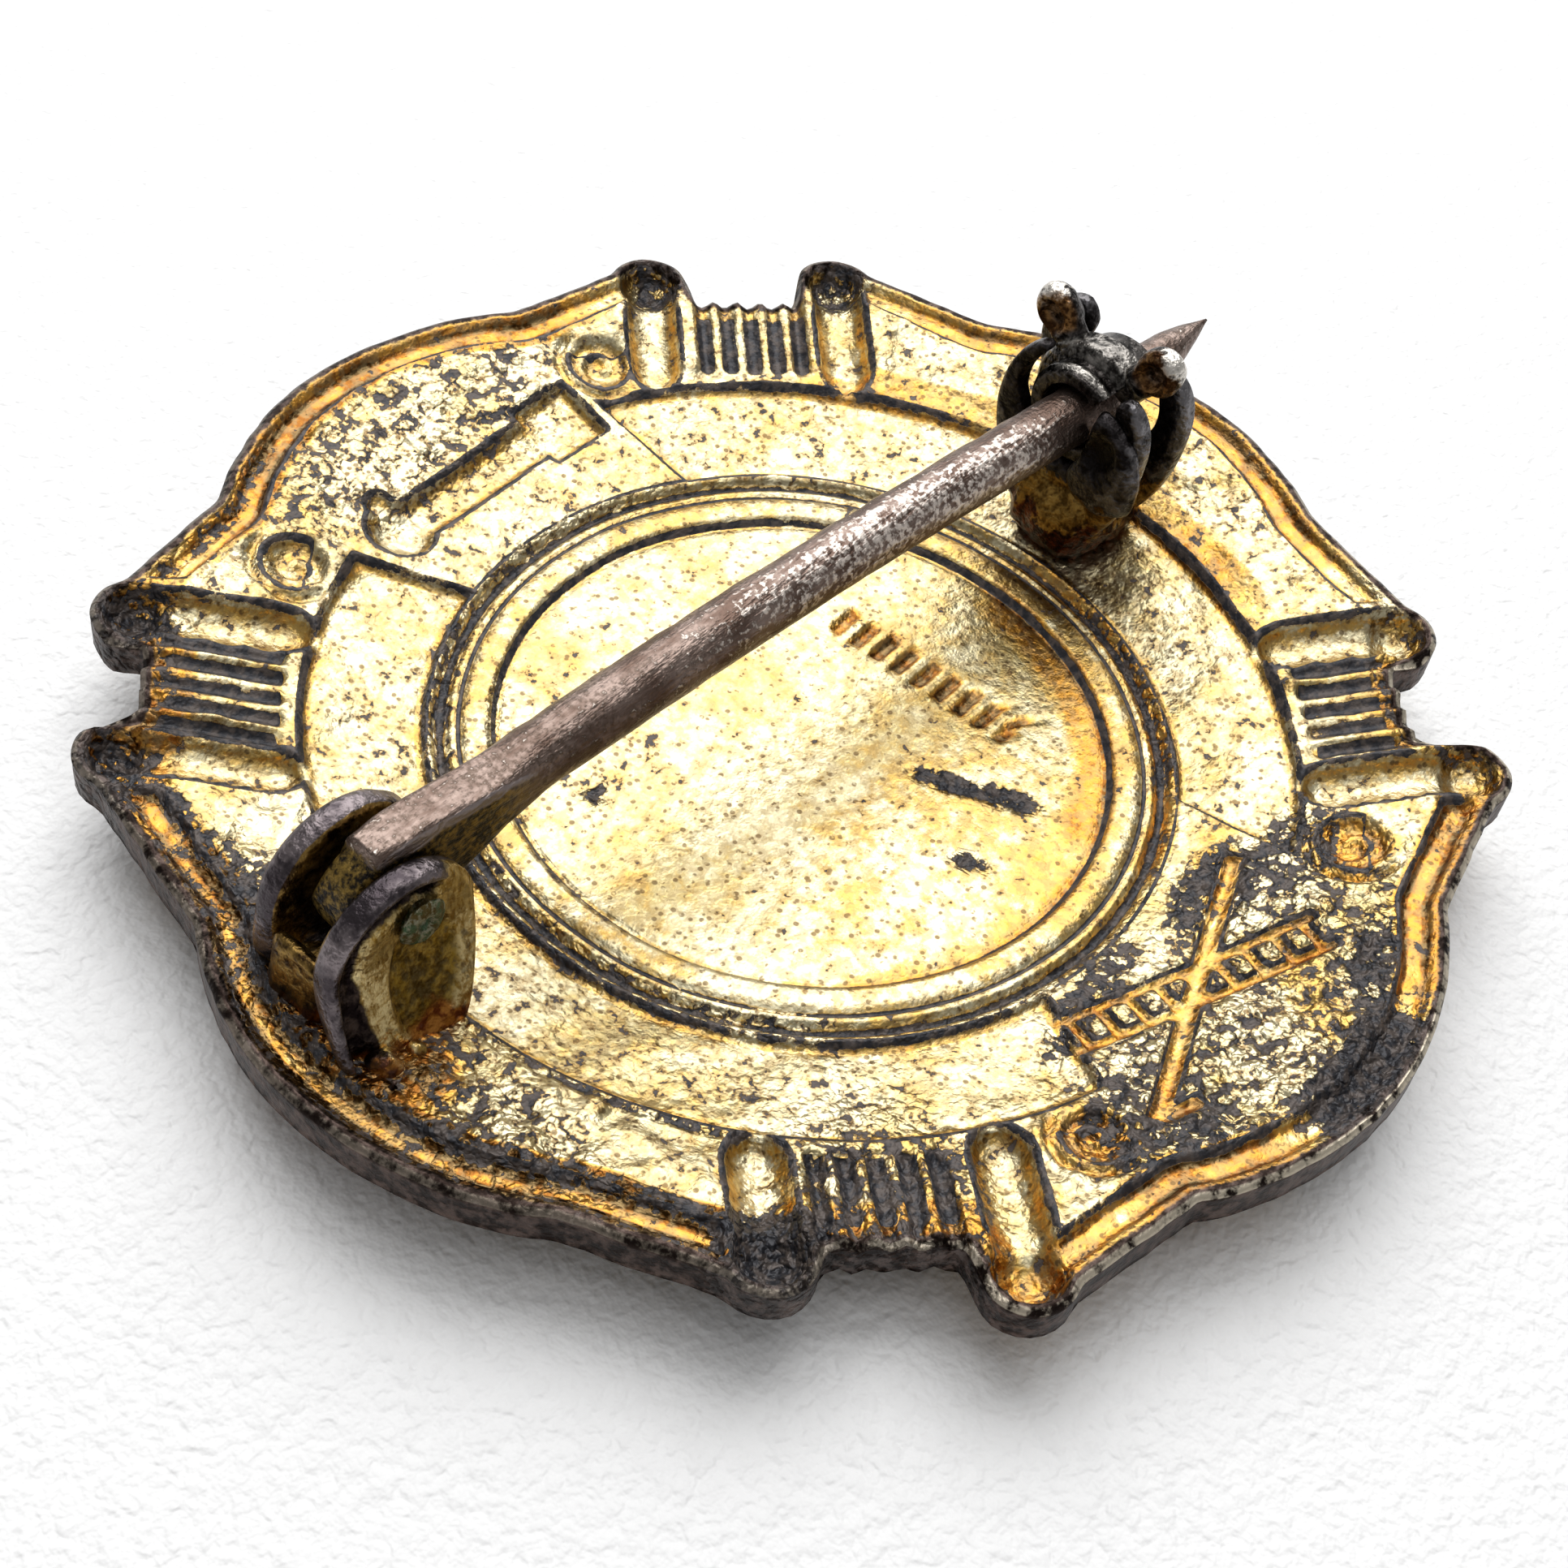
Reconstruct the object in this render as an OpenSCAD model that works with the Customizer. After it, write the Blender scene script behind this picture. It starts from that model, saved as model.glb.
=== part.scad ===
// Firefighter badge: a small struck cross with a brooch fastening, lying face down.
// The origin is under the middle of the badge, on the surface that its front rests on.
// +Z points out of the back, and the arms of the cross point along X and Y.

/* [Struck cross] */
// Thickness of the struck sheet
sheet = 0.9; // [0.7:0.05:1.1]
// Radius of the flat centre disc
disc_r = 6.4; // [6:0.1:6.8]
// Width of the flat bead around the disc
bead_w = 0.85; // [0.6:0.05:1]
// Height of the bead over the disc
bead_h = 0.18; // [0.1:0.02:0.24]
// Width of the groove around the bead
groove_w = 0.4; // [0.3:0.05:0.5]
// Width of the ridge between the ring and the banners
ridge_w = 0.14; // [0.08:0.02:0.2]
// Width of the two ribbon banners, with that ridge
banner_w = 2.5; // [2.2:0.05:2.6]
// Distance from the centre to the straight edge of each notch
notch_reach = 12.75; // [12.6:0.05:12.9]
// Distance from the centre to the peak of each arm
arm_reach = 13.9; // [13.7:0.05:14.1]
// Distance from the centre to the waist beside each arm's peak
waist_reach = 13.2; // [13:0.05:13.3]
// Angle from an arm's middle to its waist
waist_angle = 20; // [18:0.5:22]
// Height of the rim over the disc
rim_rise = 1.35; // [1.1:0.05:1.5]
// Depth of the flat relief: banners, border, scrolls, ladder and pole
relief = 0.22; // [0.12:0.01:0.3]

/* [Notches] */
// Distance from a notch's middle to its knobs
knob_offset = 2.15; // [2.05:0.05:2.25]
// Distance from the centre, along the notch, to the tips of the knobs
knob_reach = 14.4; // [14.2:0.05:14.6]
// Radius of a knob
knob_r = 0.92; // [0.86:0.02:1]
// Radius of the cup in a knob
cup_r = 0.68; // [0.6:0.02:0.72]
// Radius of the channel that runs into a cup
channel_r = 0.58; // [0.48:0.02:0.58]
// Radius of the narrow flutes
flute_r = 0.18; // [0.12:0.01:0.2]
// Distance from one flute to the next
flute_pitch = 0.55; // [0.48:0.01:0.56]
// Number of flutes in a notch
flutes = 5; // [3:1:5]
// Gap between the banners and the channels and flutes
flute_gap = 0.3; // [0.2:0.05:0.5]

/* [Border] */
// Width of the edge left outside the border groove
edge_w = 0.36; // [0.3:0.02:0.5]
// Width of the border groove
border_w = 0.55; // [0.4:0.05:0.7]

/* [Banners and emblems] */
// Distance from the centre line to the upright ends of one banner
banner_end = 4.05; // [3.8:0.05:4.3]
// Distance from the centre line to the slanted ends of the other banner, at the ring
slant_in = 1.95; // [1.7:0.05:2.2]
// Distance from the centre line to the same ends, at the banner's outer edge
slant_out = 3.7; // [3.4:0.05:4]
// Radius of a scroll at a banner's end
scroll_r = 0.66; // [0.5:0.02:0.7]
// Distance from a banner's end to the middle of its scroll
scroll_gap = 0.85; // [0.75:0.05:0.95]
// Distance from the centre to the middle of the hydrant, ladder and pole
emblem_reach = 9.6; // [9.4:0.05:9.8]
// Radius of the hydrant's dome
dome_r = 0.72; // [0.6:0.02:0.8]
// Radius of the hydrant's barrel
barrel_r = 0.5; // [0.4:0.02:0.56]
// Length of the hydrant from its dome to its foot
hydrant_len = 6.4; // [5.8:0.1:6.6]
// Length and width of the hydrant's square foot
foot_side = 1.5; // [1.3:0.05:1.6]
// Distance from the arm's middle to the hydrant's middle
hydrant_shift = 0.5; // [0.3:0.05:0.6]
// Length of the ladder
ladder_len = 5.9; // [5:0.1:6.2]
// Width of the ladder
ladder_w = 1.15; // [1:0.05:1.3]
// Number of rungs
rungs = 7; // [5:1:8]
// Length of the pike pole
pole_len = 7.2; // [6:0.1:7.4]
// Width of the ladder's rails and of the pole
bar_w = 0.26; // [0.2:0.02:0.32]
// Angle that the ladder and the pole lean each way
bar_lean = 24; // [20:1:28]

/* [Fastening] */
// Angle that the fastening is turned from the arms, as it was soldered by hand
fastening_turn = -5.5; // [-8:0.5:8]
// Distance that the fastening lies beside the centre
fastening_shift = 0.77; // [0:0.01:1]
// Height of the pin's axis over the disc
pin_height = 3.75; // [3.6:0.05:4]
// Diameter of the pin's wire
pin_d = 1.24; // [1.1:0.02:1.3]
// Distance from the centre to the pin's point
pin_reach = 13; // [12.4:0.1:13.2]
// Length of the pin's point
point_len = 2.6; // [2:0.1:2.8]
// Share of the wire's diameter left where the point starts
point_share = 0.9; // [0.8:0.02:0.96]
// Distance before the catch at which the wire starts to taper
taper_gap = 0.2; // [0.15:0.05:0.5]
// Depth that the soldered feet reach into the sheet
solder = 0.35; // [0.3:0.01:0.4]

/* [Hinge] */
// Distance from the centre to the rivet
rivet_reach = 10.6; // [10.2:0.1:10.8]
// Height of the rivet over the disc
rivet_height = 3.2; // [3.05:0.05:3.3]
// Radius of the rivet
rivet_r = 0.36; // [0.3:0.02:0.42]
// Radius of the rivet's heads
rivet_head_r = 0.6; // [0.5:0.02:0.7]
// Thickness of the rivet's heads
rivet_head_t = 0.18; // [0.1:0.02:0.24]
// Radius of an ear
ear_r = 1.66; // [1.5:0.02:1.8]
// Height of an ear's centre over the disc
ear_height = 2.66; // [2.5:0.02:2.9]
// Distance that the ears stand behind the rivet
ear_shift = 0.3; // [0.1:0.05:0.4]
// Thickness of an ear
ear_t = 0.58; // [0.45:0.01:0.7]
// Width of the slot between the ears
ear_slot = 1.28; // [1.2:0.02:1.4]
// Width of the ears' foot
foot_w = 2.2; // [1.9:0.05:2.6]
// Radius of the knuckle at the pin's end
knuckle_r = 1.36; // [1.2:0.02:1.4]
// Length of the flattened tongue between the rivet and the round wire
tongue_len = 2.6; // [2.2:0.1:3]

/* [Safety catch] */
// Distance from the centre to the catch's front
catch_reach = 8.2; // [8:0.05:8.4]
// Radius of the two cheeks
cheek_r = 1.96; // [1.85:0.02:2.1]
// Thickness of a cheek
cheek_t = 0.5; // [0.4:0.02:0.6]
// Width of the space between the cheeks
cheek_gap = 1; // [0.9:0.05:1.1]
// Width of the mouth in the cheeks
mouth_w = 1.6; // [1.5:0.05:1.7]
// Distance that the mouth lies beside the pin
mouth_shift = 0.1; // [0:0.02:0.14]
// Width of each cheek's foot
cheek_foot_w = 3.6; // [3:0.1:3.7]
// Width of the web that joins the cheeks under the rotor
web_w = 2.3; // [2:0.1:2.4]
// Outer radius of the rotor's barrel
rotor_r = 1.15; // [1.1:0.01:1.2]
// Radius of the rotor's bore
rotor_bore_r = 0.76; // [0.74:0.01:0.8]
// Angle that the rotor turns to let the pin out
rotor_turn = 85; // [80:1:90]
// Radius of the flange that carries the tabs
flange_r = 1.45; // [1.35:0.01:1.5]
// Distance from the pin's axis to the ends of the tabs
tab_reach = 2.8; // [2.7:0.05:3]
// Radius of a tab's round end
tab_r = 0.45; // [0.4:0.01:0.46]
// Radius of a tab's stem
tab_stem_r = 0.38; // [0.34:0.01:0.4]
// Angle from upright to each tab
tab_lean = 40; // [38:1:42]

/* [Clearances] */
// Gap around the rivet in the ears
rivet_fit = 0.02; // [0.01:0.01:0.03]
// Running gap of the knuckle around the rivet
knuckle_fit = 0.05; // [0.02:0.01:0.09]
// Gap on each side of the knuckle, and under it
knuckle_side = 0.06; // [0.04:0.01:0.1]
// Running gap around the rotor
rotor_fit = 0.06; // [0.04:0.01:0.09]
// Gap at each end of the rotor's flange, and under it
flange_side = 0.08; // [0.05:0.01:0.12]
// Gap on each side of the pin in the rotor's slot
slot_side = 0.08; // [0.05:0.01:0.1]

/* [Hidden] */
$fn = 64;
gilt = [0.85, 0.76, 0.5];
steel = [0.55, 0.5, 0.5];
dark_metal = [0.36, 0.34, 0.34];

// Radii of the rings on the back, from the disc outwards, and the slope of the field
bead_r = disc_r + bead_w;
groove_r = bead_r + groove_w;
banner_r = groove_r + banner_w;
field_h = bead_h + 0.06;
slope = (rim_rise - field_h) / (notch_reach - groove_r);
core_r = notch_reach - 0.25;
outer_r = knob_reach + 2;
sky = 20;

// The arc at the end of an arm, from one waist to the other
waist = waist_reach * [cos(waist_angle), sin(waist_angle)];
arm_sag = arm_reach - waist[0];
arm_arc = (waist[1] * waist[1] + arm_sag * arm_sag) / (2 * arm_sag);

// The four notches, trimmed by hand and so not quite alike: direction, share of notch_reach,
// then shares of knob_offset and knob_reach for the clockwise knob and for the other one
notches = [
    [45.5, 0.99, 0.99, 0.984, 1.07, 0.976],
    [133.3, 1.04, 0.87, 1, 0.87, 0.998],
    [225, 0.99, 0.98, 0.944, 1.07, 0.98],
    [315, 0.99, 0.95, 0.996, 0.89, 0.96]
];

// Heights of the pin's axis and of the rivet, and the pin's radius
axis_z = sheet + pin_height;
rivet_z = sheet + rivet_height;
pin_r = pin_d / 2;

// Height of the plain field at a distance from the centre
function field(r) = sheet + field_h + slope * (r - groove_r);

// The back's section from the centre outwards, lowered by a depth
function section(depth) = [
    [0, sheet - depth],
    [disc_r - bead_h, sheet - depth],
    [disc_r, sheet + bead_h - depth],
    [bead_r, sheet + bead_h - depth],
    [bead_r + groove_w / 4, sheet - depth],
    [groove_r - groove_w / 4, sheet - depth],
    [groove_r, sheet + field_h - depth],
    [notch_reach, sheet + rim_rise - depth],
    [outer_r, sheet + rim_rise + 0.1 - depth]
];

function reversed(list) = [for (i = [len(list) - 1:-1:0]) list[i]];
function turned(p, a) = [p[0] * cos(a) - p[1] * sin(a), p[0] * sin(a) + p[1] * cos(a)];

// Middle of a knob with its notch turned to point along +Y: side 1 is clockwise, -1 the other
function knob(row, side) = [
    side * knob_offset * row[side > 0 ? 2 : 4],
    knob_reach * row[side > 0 ? 3 : 5] - knob_r
];

// The same in place, the waist beside it, and the end of the shoulder between them
function knob_mid(i, side) = turned(knob(notches[i], side), notches[i][0] - 90);
function waist_by(i, side) = turned([waist[0], side * waist[1]], 90 * i + (side > 0 ? 0 : 90));
function shoulder_end(i, side) =
    let (way = knob_mid(i, side) - waist_by(i, side))
    knob_mid(i, side) + side * 0.85 * knob_r / norm(way) * [way[1], -way[0]];

// Everything above the back's surface lowered by a depth
module above(depth) {
    rotate_extrude() polygon(concat(section(depth), [[outer_r, sky], [0, sky]]));
}

// The layer between two depths under the back's surface
module layer(top, bottom) {
    rotate_extrude() polygon(concat(section(top), reversed(section(bottom))));
}

// The web between the two knobs of a notch that points along +Y
module notch_edge(row) {
    edge = notch_reach * row[1];
    right = knob(row, 1);
    left = knob(row, -1);
    polygon([
        [0, -knob_r], right + knob_r / 3 * [1, -1], [right[0], edge],
        [left[0], edge], left - knob_r / 3 * [1, 1]
    ]);
}

// Outline of the badge seen from above
module outline() {
    circle(core_r);
    for (i = [0:3]) {
        rotate(90 * i) translate([arm_reach - arm_arc, 0]) circle(arm_arc);
        rotate(notches[i][0] - 90) notch_edge(notches[i]);
        for (side = [-1, 1]) {
            polygon([[0, 0], waist_by(i, side), shoulder_end(i, side), knob_mid(i, side)]);
            translate(knob_mid(i, side)) circle(knob_r);
        }
    }
}

// Border groove inside the edges of the arms
module border() {
    for (i = [0:3]) {
        rotate(90 * i) intersection() {
            translate([arm_reach - arm_arc, 0]) difference() {
                circle(arm_arc - edge_w);
                circle(arm_arc - edge_w - border_w);
            }
            polygon([[0, 0], [1.2 * waist[0], -1.2 * waist[1]], 1.2 * waist]);
        }
        for (side = [-1, 1]) {
            way = shoulder_end(i, side) - waist_by(i, side);
            translate(waist_by(i, side)) rotate(atan2(way[1], way[0]))
                translate([-border_w, side > 0 ? edge_w : -edge_w - border_w])
                    square([norm(way), border_w]);
        }
    }
}

// The two ribbon banners: upright ends on the +X side and slanted ends on the -X side
module banners() {
    ring_y = sqrt(groove_r * groove_r - slant_in * slant_in);
    intersection() {
        difference() {
            circle(banner_r);
            circle(groove_r + ridge_w);
        }
        union() {
            translate([banner_end, -banner_r]) square([banner_r, 2 * banner_r]);
            polygon([
                [-slant_in, ring_y], [-slant_out, banner_r], [-banner_r, banner_r],
                [-banner_r, -banner_r], [-slant_out, -banner_r], [-slant_in, -ring_y]
            ]);
        }
    }
}

// A small scroll at each end of the banners
module scrolls() {
    for (x = [banner_end + scroll_gap, -slant_out - scroll_gap], side = [-1, 1])
        translate([x, side * banner_r]) difference() {
            circle(scroll_r);
            circle(scroll_r * 0.4);
        }
}

// Crossed ladder and pike pole, on the arm that points along -Y
module ladder_and_pole() {
    translate([0, -emblem_reach]) {
        rotate(-bar_lean) {
            for (side = [-1, 1]) translate([-ladder_len / 2, side * (ladder_w - bar_w) / 2 - bar_w / 2])
                square([ladder_len, bar_w]);
            for (i = [0:rungs - 1]) translate([ladder_len * ((i + 0.5) / rungs - 0.5), 0])
                square([bar_w * 0.8, ladder_w - bar_w], center = true);
        }
        rotate(bar_lean - 4) translate([-pole_len / 2, -bar_w / 2]) {
            square([pole_len, bar_w]);
            rotate(-40) square([pole_len / 8, bar_w]);
        }
    }
}

// Hydrant lying along X, on the arm that points along +Y
module hydrant() {
    height = field(emblem_reach);
    dome_x = hydrant_shift + dome_r - hydrant_len / 2;
    translate([dome_x, emblem_reach, height + dome_r / 2]) sphere(dome_r);
    translate([dome_x, emblem_reach, height + barrel_r / 2]) {
        rotate([0, 90, 0]) cylinder(r = barrel_r, h = hydrant_len - dome_r - foot_side);
        rotate([-90, 0, 0]) cylinder(r = dome_r / 3, h = dome_r * 1.25);
    }
}

// Two channels that end in cups, with the flutes between them, in a notch along +Y
module notch_relief(row) {
    start = banner_r + flute_gap;
    for (side = [-1, 1]) {
        cup = knob(row, side);
        lean = atan((sheet + rim_rise - field(start)) / (cup[1] - start));
        translate([cup[0], start, field(start)]) rotate([lean - 90, 0, 0])
            cylinder(r = channel_r, h = (cup[1] - start) / cos(lean));
        translate([cup[0], cup[1], sheet + rim_rise]) sphere(cup_r);
    }
    for (i = [0:flutes - 1])
        translate([(i - (flutes - 1) / 2) * flute_pitch, start, field(start)])
            rotate([atan(slope) - 90, 0, 0]) cylinder(r = flute_r, h = outer_r - start);
}

// Plan of the marks with a flat bottom
module flat_marks() {
    linear_extrude(sky) {
        banners();
        scrolls();
        ladder_and_pole();
        border();
        translate([hydrant_shift + hydrant_len / 2 - foot_side, emblem_reach - foot_side / 2])
            square(foot_side);
    }
}

// The round-bottomed marks
module round_marks() {
    hydrant();
    for (row = notches) rotate(row[0] - 90) notch_relief(row);
}

// Places what belongs to the fastening, at a distance along the pin
module fastened(reach) {
    rotate(fastening_turn) translate([reach, fastening_shift, 0]) children();
}

// A round bar along the pin, or across it, at the middle of its length
module along(r, h) rotate([0, 90, 0]) cylinder(r = r, h = h, center = true);
module across(r, h) rotate([90, 0, 0]) cylinder(r = r, h = h, center = true);

// Two ears on one foot, bored for the rivet
module hinge_ears() {
    ears_w = ear_slot + 2 * ear_t;
    slot_z = rivet_z - knuckle_r - knuckle_side;
    fastened(-rivet_reach) difference() {
        union() {
            translate([-ear_shift, 0, sheet + ear_height]) across(ear_r, ears_w);
            translate([-foot_w / 2 - ear_shift, -ears_w / 2, 0]) cube([foot_w, ears_w, sheet + ear_height]);
        }
        translate([-ear_r - ear_shift - 1, -ear_slot / 2, slot_z]) cube([2 * ear_r + 2 * ear_shift + 2, ear_slot, sky]);
        translate([0, 0, rivet_z]) across(rivet_r + rivet_fit, ears_w + 1);
    }
}

// Two cheeks on one base, with a bore for the rotor and a mouth for the pin
module catch_cheeks() {
    catch_w = 2 * cheek_t + cheek_gap;
    fastened(catch_reach + catch_w / 2) difference() {
        union() {
            for (side = [-1, 1]) translate([side * (cheek_gap + cheek_t) / 2, 0, 0]) {
                translate([0, 0, axis_z]) along(cheek_r, cheek_t);
                translate([-cheek_t / 2, -cheek_foot_w / 2, 0])
                    cube([cheek_t, cheek_foot_w, axis_z - cheek_r / 2]);
            }
            translate([-catch_w / 2, -web_w / 2, 0])
                cube([catch_w, web_w, axis_z - flange_r - flange_side]);
        }
        translate([0, 0, axis_z]) along(rotor_r + rotor_fit, catch_w + 1);
        translate([-catch_w, mouth_shift - mouth_w / 2, axis_z]) cube([2 * catch_w, mouth_w, sky]);
    }
}

// The struck sheet, its marks sunk in the back and raised on the front, with the hinge
// and the catch soldered on: one solid
module struck_badge() color(gilt) {
    difference() {
        intersection() {
            union() {
                layer(0, sheet);
                intersection() {
                    flat_marks();
                    layer(sheet / 2, sheet + relief);
                }
                translate([0, 0, -sheet]) round_marks();
            }
            linear_extrude(sky) outline();
        }
        intersection() {
            flat_marks();
            above(relief);
        }
        round_marks();
    }
    intersection() {
        union() {
            hinge_ears();
            catch_cheeks();
        }
        above(solder);
    }
}

// The rivet through both ears, with a peened head at each end
module hinge_rivet() color(steel) {
    shank = ear_slot + 2 * ear_t + 2 * rivet_fit;
    fastened(-rivet_reach) translate([0, 0, rivet_z]) {
        across(rivet_r, shank);
        for (side = [-1, 1]) translate([0, side * (shank + rivet_head_t) / 2, 0])
            across(rivet_head_r, rivet_head_t);
    }
}

// The pin: a bored knuckle, a flattened tongue, round wire, a slow taper and a point
module pin_stem() color(steel) {
    width = ear_slot - 2 * knuckle_side;
    wire_start = tongue_len - pin_r / 4;
    taper_start = rivet_reach + catch_reach - taper_gap;
    point_start = rivet_reach + pin_reach - point_len;
    point_r = pin_r * point_share;
    fastened(-rivet_reach) difference() {
        union() {
            translate([0, 0, rivet_z]) across(knuckle_r, width);
            translate([0, width / 2, 0]) rotate([90, 0, 0]) linear_extrude(width) polygon([
                [0, rivet_z], [tongue_len, axis_z - pin_r * 0.9], [tongue_len, axis_z + pin_r * 0.9],
                [knuckle_r, rivet_z + knuckle_r], [0, rivet_z + knuckle_r]
            ]);
            translate([wire_start, 0, axis_z]) rotate([0, 90, 0])
                cylinder(r = pin_r, h = taper_start - wire_start);
            translate([taper_start, 0, axis_z]) rotate([0, 90, 0])
                cylinder(r1 = pin_r, r2 = point_r, h = point_start - taper_start);
            translate([point_start, 0, axis_z]) rotate([0, 90, 0])
                cylinder(r1 = point_r, r2 = pin_r / 12, h = point_len);
        }
        translate([0, 0, rivet_z]) across(rivet_r + knuckle_fit, width + 1);
    }
}

// The rotor: a slotted barrel with a flange, and two thumb tabs hollowed in front
module catch_rotor() color(dark_metal) {
    catch_w = 2 * cheek_t + cheek_gap;
    tab_mid = tab_reach - tab_r;
    fastened(catch_reach + catch_w / 2) translate([0, 0, axis_z]) {
        difference() {
            union() {
                along(rotor_r, catch_w);
                along(flange_r, cheek_gap - 2 * flange_side);
            }
            along(rotor_bore_r, catch_w + 1);
            rotate([-rotor_turn, 0, 0]) translate([-catch_w, -pin_r - slot_side, 0])
                cube([2 * catch_w, pin_d + 2 * slot_side, sky]);
        }
        for (side = [-1, 1]) rotate([side * tab_lean, 0, 0]) difference() {
            union() {
                translate([0, 0, rotor_r - 0.1]) cylinder(r = tab_stem_r, h = tab_mid - rotor_r + 0.1);
                translate([0, 0, tab_mid]) sphere(tab_r);
            }
            translate([-tab_r, 0, tab_mid - tab_r / 3]) sphere(tab_r * 0.85);
        }
    }
}

struck_badge();
hinge_rivet();
pin_stem();
catch_rotor();
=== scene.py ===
import math
from collections import namedtuple

import bpy
import numpy as np
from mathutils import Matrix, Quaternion, Vector


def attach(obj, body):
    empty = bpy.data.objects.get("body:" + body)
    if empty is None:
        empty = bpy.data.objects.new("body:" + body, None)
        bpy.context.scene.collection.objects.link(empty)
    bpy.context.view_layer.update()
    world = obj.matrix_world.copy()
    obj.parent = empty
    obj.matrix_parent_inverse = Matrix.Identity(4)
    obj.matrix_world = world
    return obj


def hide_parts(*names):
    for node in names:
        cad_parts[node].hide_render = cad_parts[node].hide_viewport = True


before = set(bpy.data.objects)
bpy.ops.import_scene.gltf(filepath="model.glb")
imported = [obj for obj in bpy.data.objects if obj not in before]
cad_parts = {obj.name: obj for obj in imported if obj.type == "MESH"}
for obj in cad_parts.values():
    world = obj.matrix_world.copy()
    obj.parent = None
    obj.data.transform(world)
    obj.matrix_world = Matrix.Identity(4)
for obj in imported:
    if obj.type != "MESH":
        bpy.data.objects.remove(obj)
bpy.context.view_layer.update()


# ---- Stage -----------------------------------------------------------------------------------
# A sheet of white grained leatherette, lit softly from above and behind. The camera stands
# close, nearly three hand widths away, and looks down on the badge, which lies on its front.
MM = 0.001
scene = bpy.context.scene


class Shade:
    """A number, colour or vector of a material. Sums on it add the nodes that work them out."""

    def __init__(self, tree, socket=None):
        self.tree = tree
        self.socket = socket

    def add(self, kind, settings=None, sockets=None, out=0):
        """Adds a node: its settings first, then the values or links of its sockets."""
        node = self.tree.nodes.new("ShaderNode" + kind)
        for name, value in (settings or {}).items():
            setattr(node, name, value)
        for name, value in (sockets or {}).items():
            socket = node.inputs[name]
            if isinstance(value, Shade):
                self.tree.links.new(value.socket, socket)
            elif isinstance(value, tuple) and len(socket.default_value) == 4:
                socket.default_value = (*value, 1)
            else:
                socket.default_value = value
        return Shade(self.tree, node.outputs[out])

    def sum(self, operation, first, second=0.0, third=0.0):
        values = {0: first, 1: second, 2: third}
        return self.add("Math", {"operation": operation}, values)

    def __add__(self, other):
        return self.sum("ADD", self, other)

    def __radd__(self, other):
        return self.sum("ADD", other, self)

    def __sub__(self, other):
        return self.sum("SUBTRACT", self, other)

    def __rsub__(self, other):
        return self.sum("SUBTRACT", other, self)

    def __mul__(self, other):
        return self.sum("MULTIPLY", self, other)

    def __rmul__(self, other):
        return self.sum("MULTIPLY", other, self)

    def __abs__(self):
        return self.sum("ABSOLUTE", self)

    def most(self, other):
        return self.sum("MAXIMUM", self, other)

    def rise(self, low, high):
        """0 below low and 1 above high, with a smooth slope between. It falls if low is above high."""
        settings = {"interpolation_type": "SMOOTHSTEP"}
        ends = (1.0, 0.0) if low > high else (0.0, 1.0)
        sockets = {0: self, 1: min(low, high), 2: max(low, high), 3: ends[0], 4: ends[1]}
        return self.add("MapRange", settings, sockets)

    def band(self, middle, width, soft):
        """1 where the value lies within a width about a middle."""
        return abs(self - middle).rise(width / 2 + soft, width / 2)

    def mix(self, low, high):
        """Colour low where this is 0, and colour high where it is 1."""
        return self.add("Mix", {"data_type": "RGBA"}, {0: self, 6: low, 7: high}, 2)

    def stretched(self, scales):
        return self.add("VectorMath", {"operation": "MULTIPLY"}, {0: self, 1: scales})

    def noise(self, pitch, detail=2.0, rough=0.55, bend=0.0, seed=0.0):
        """Cloudy noise about 0.5 whose largest marks are about a pitch across, in mm."""
        vector = self
        if seed:
            vector = self.add("VectorMath", {"operation": "ADD"}, {0: self, 1: (seed, 1.7 * seed, -seed)})
        sockets = {"Vector": vector, "Scale": 1 / pitch, "Detail": detail}
        sockets |= {"Roughness": rough, "Distortion": bend}
        return self.add("TexNoise", {}, sockets)

    def length(self):
        return self.add("VectorMath", {"operation": "LENGTH"}, {0: self}, 1)

    def cells(self, pitch):
        """Distance from the middle of the nearest cell, 0 to about 1, with cells about a pitch across."""
        return self.add("TexVoronoi", {}, {"Vector": self, "Scale": 1 / pitch})

    def bent(self, pitch, far):
        """The place shifted about by noise, at most by half the distance far, in mm."""
        sockets = {"Vector": self, "Scale": 1 / pitch, "Detail": 2.0}
        shift = self.add("TexNoise", {}, sockets, 1)
        return self.add("VectorMath", {"operation": "MULTIPLY_ADD"}, {0: shift, 1: (far,) * 3, 2: self})

    def marks(self, *names):
        """Values that the mesh carries at each point."""
        return [self.add("Attribute", {"attribute_name": name}, out=2) for name in names]


def finish_of(name, make):
    """A material. make(start, place) gives Principled sockets, and "Bump" as (height, depth in mm)."""
    material = bpy.data.materials.new(name)
    material.use_nodes = True
    tree = material.node_tree
    principled = tree.nodes["Principled BSDF"]
    start = Shade(tree)
    place = start.add("TexCoord", out=3).stretched((1 / MM,) * 3)
    sockets = make(start, place)
    if "Bump" in sockets:
        height, depth = sockets.pop("Bump")
        sockets["Normal"] = start.add("Bump", {}, {"Height": height, "Distance": depth * MM, "Strength": 1.0})
    for socket, value in sockets.items():
        if isinstance(value, Shade):
            tree.links.new(value.socket, principled.inputs[socket])
        elif isinstance(value, tuple):
            principled.inputs[socket].default_value = (*value, 1)
        else:
            principled.inputs[socket].default_value = value
    return material


def leatherette(start, place):
    grain = place.noise(0.36, 1.0, 0.5, 0.4) + 0.4 * place.noise(0.14, 1.0, 0.5)
    return {
        "Base Color": (0.93, 0.93, 0.93),
        "Roughness": grain.rise(0.5, 1.0) * 0.15 + 0.42,
        "Bump": (grain, 0.07),
    }


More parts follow.
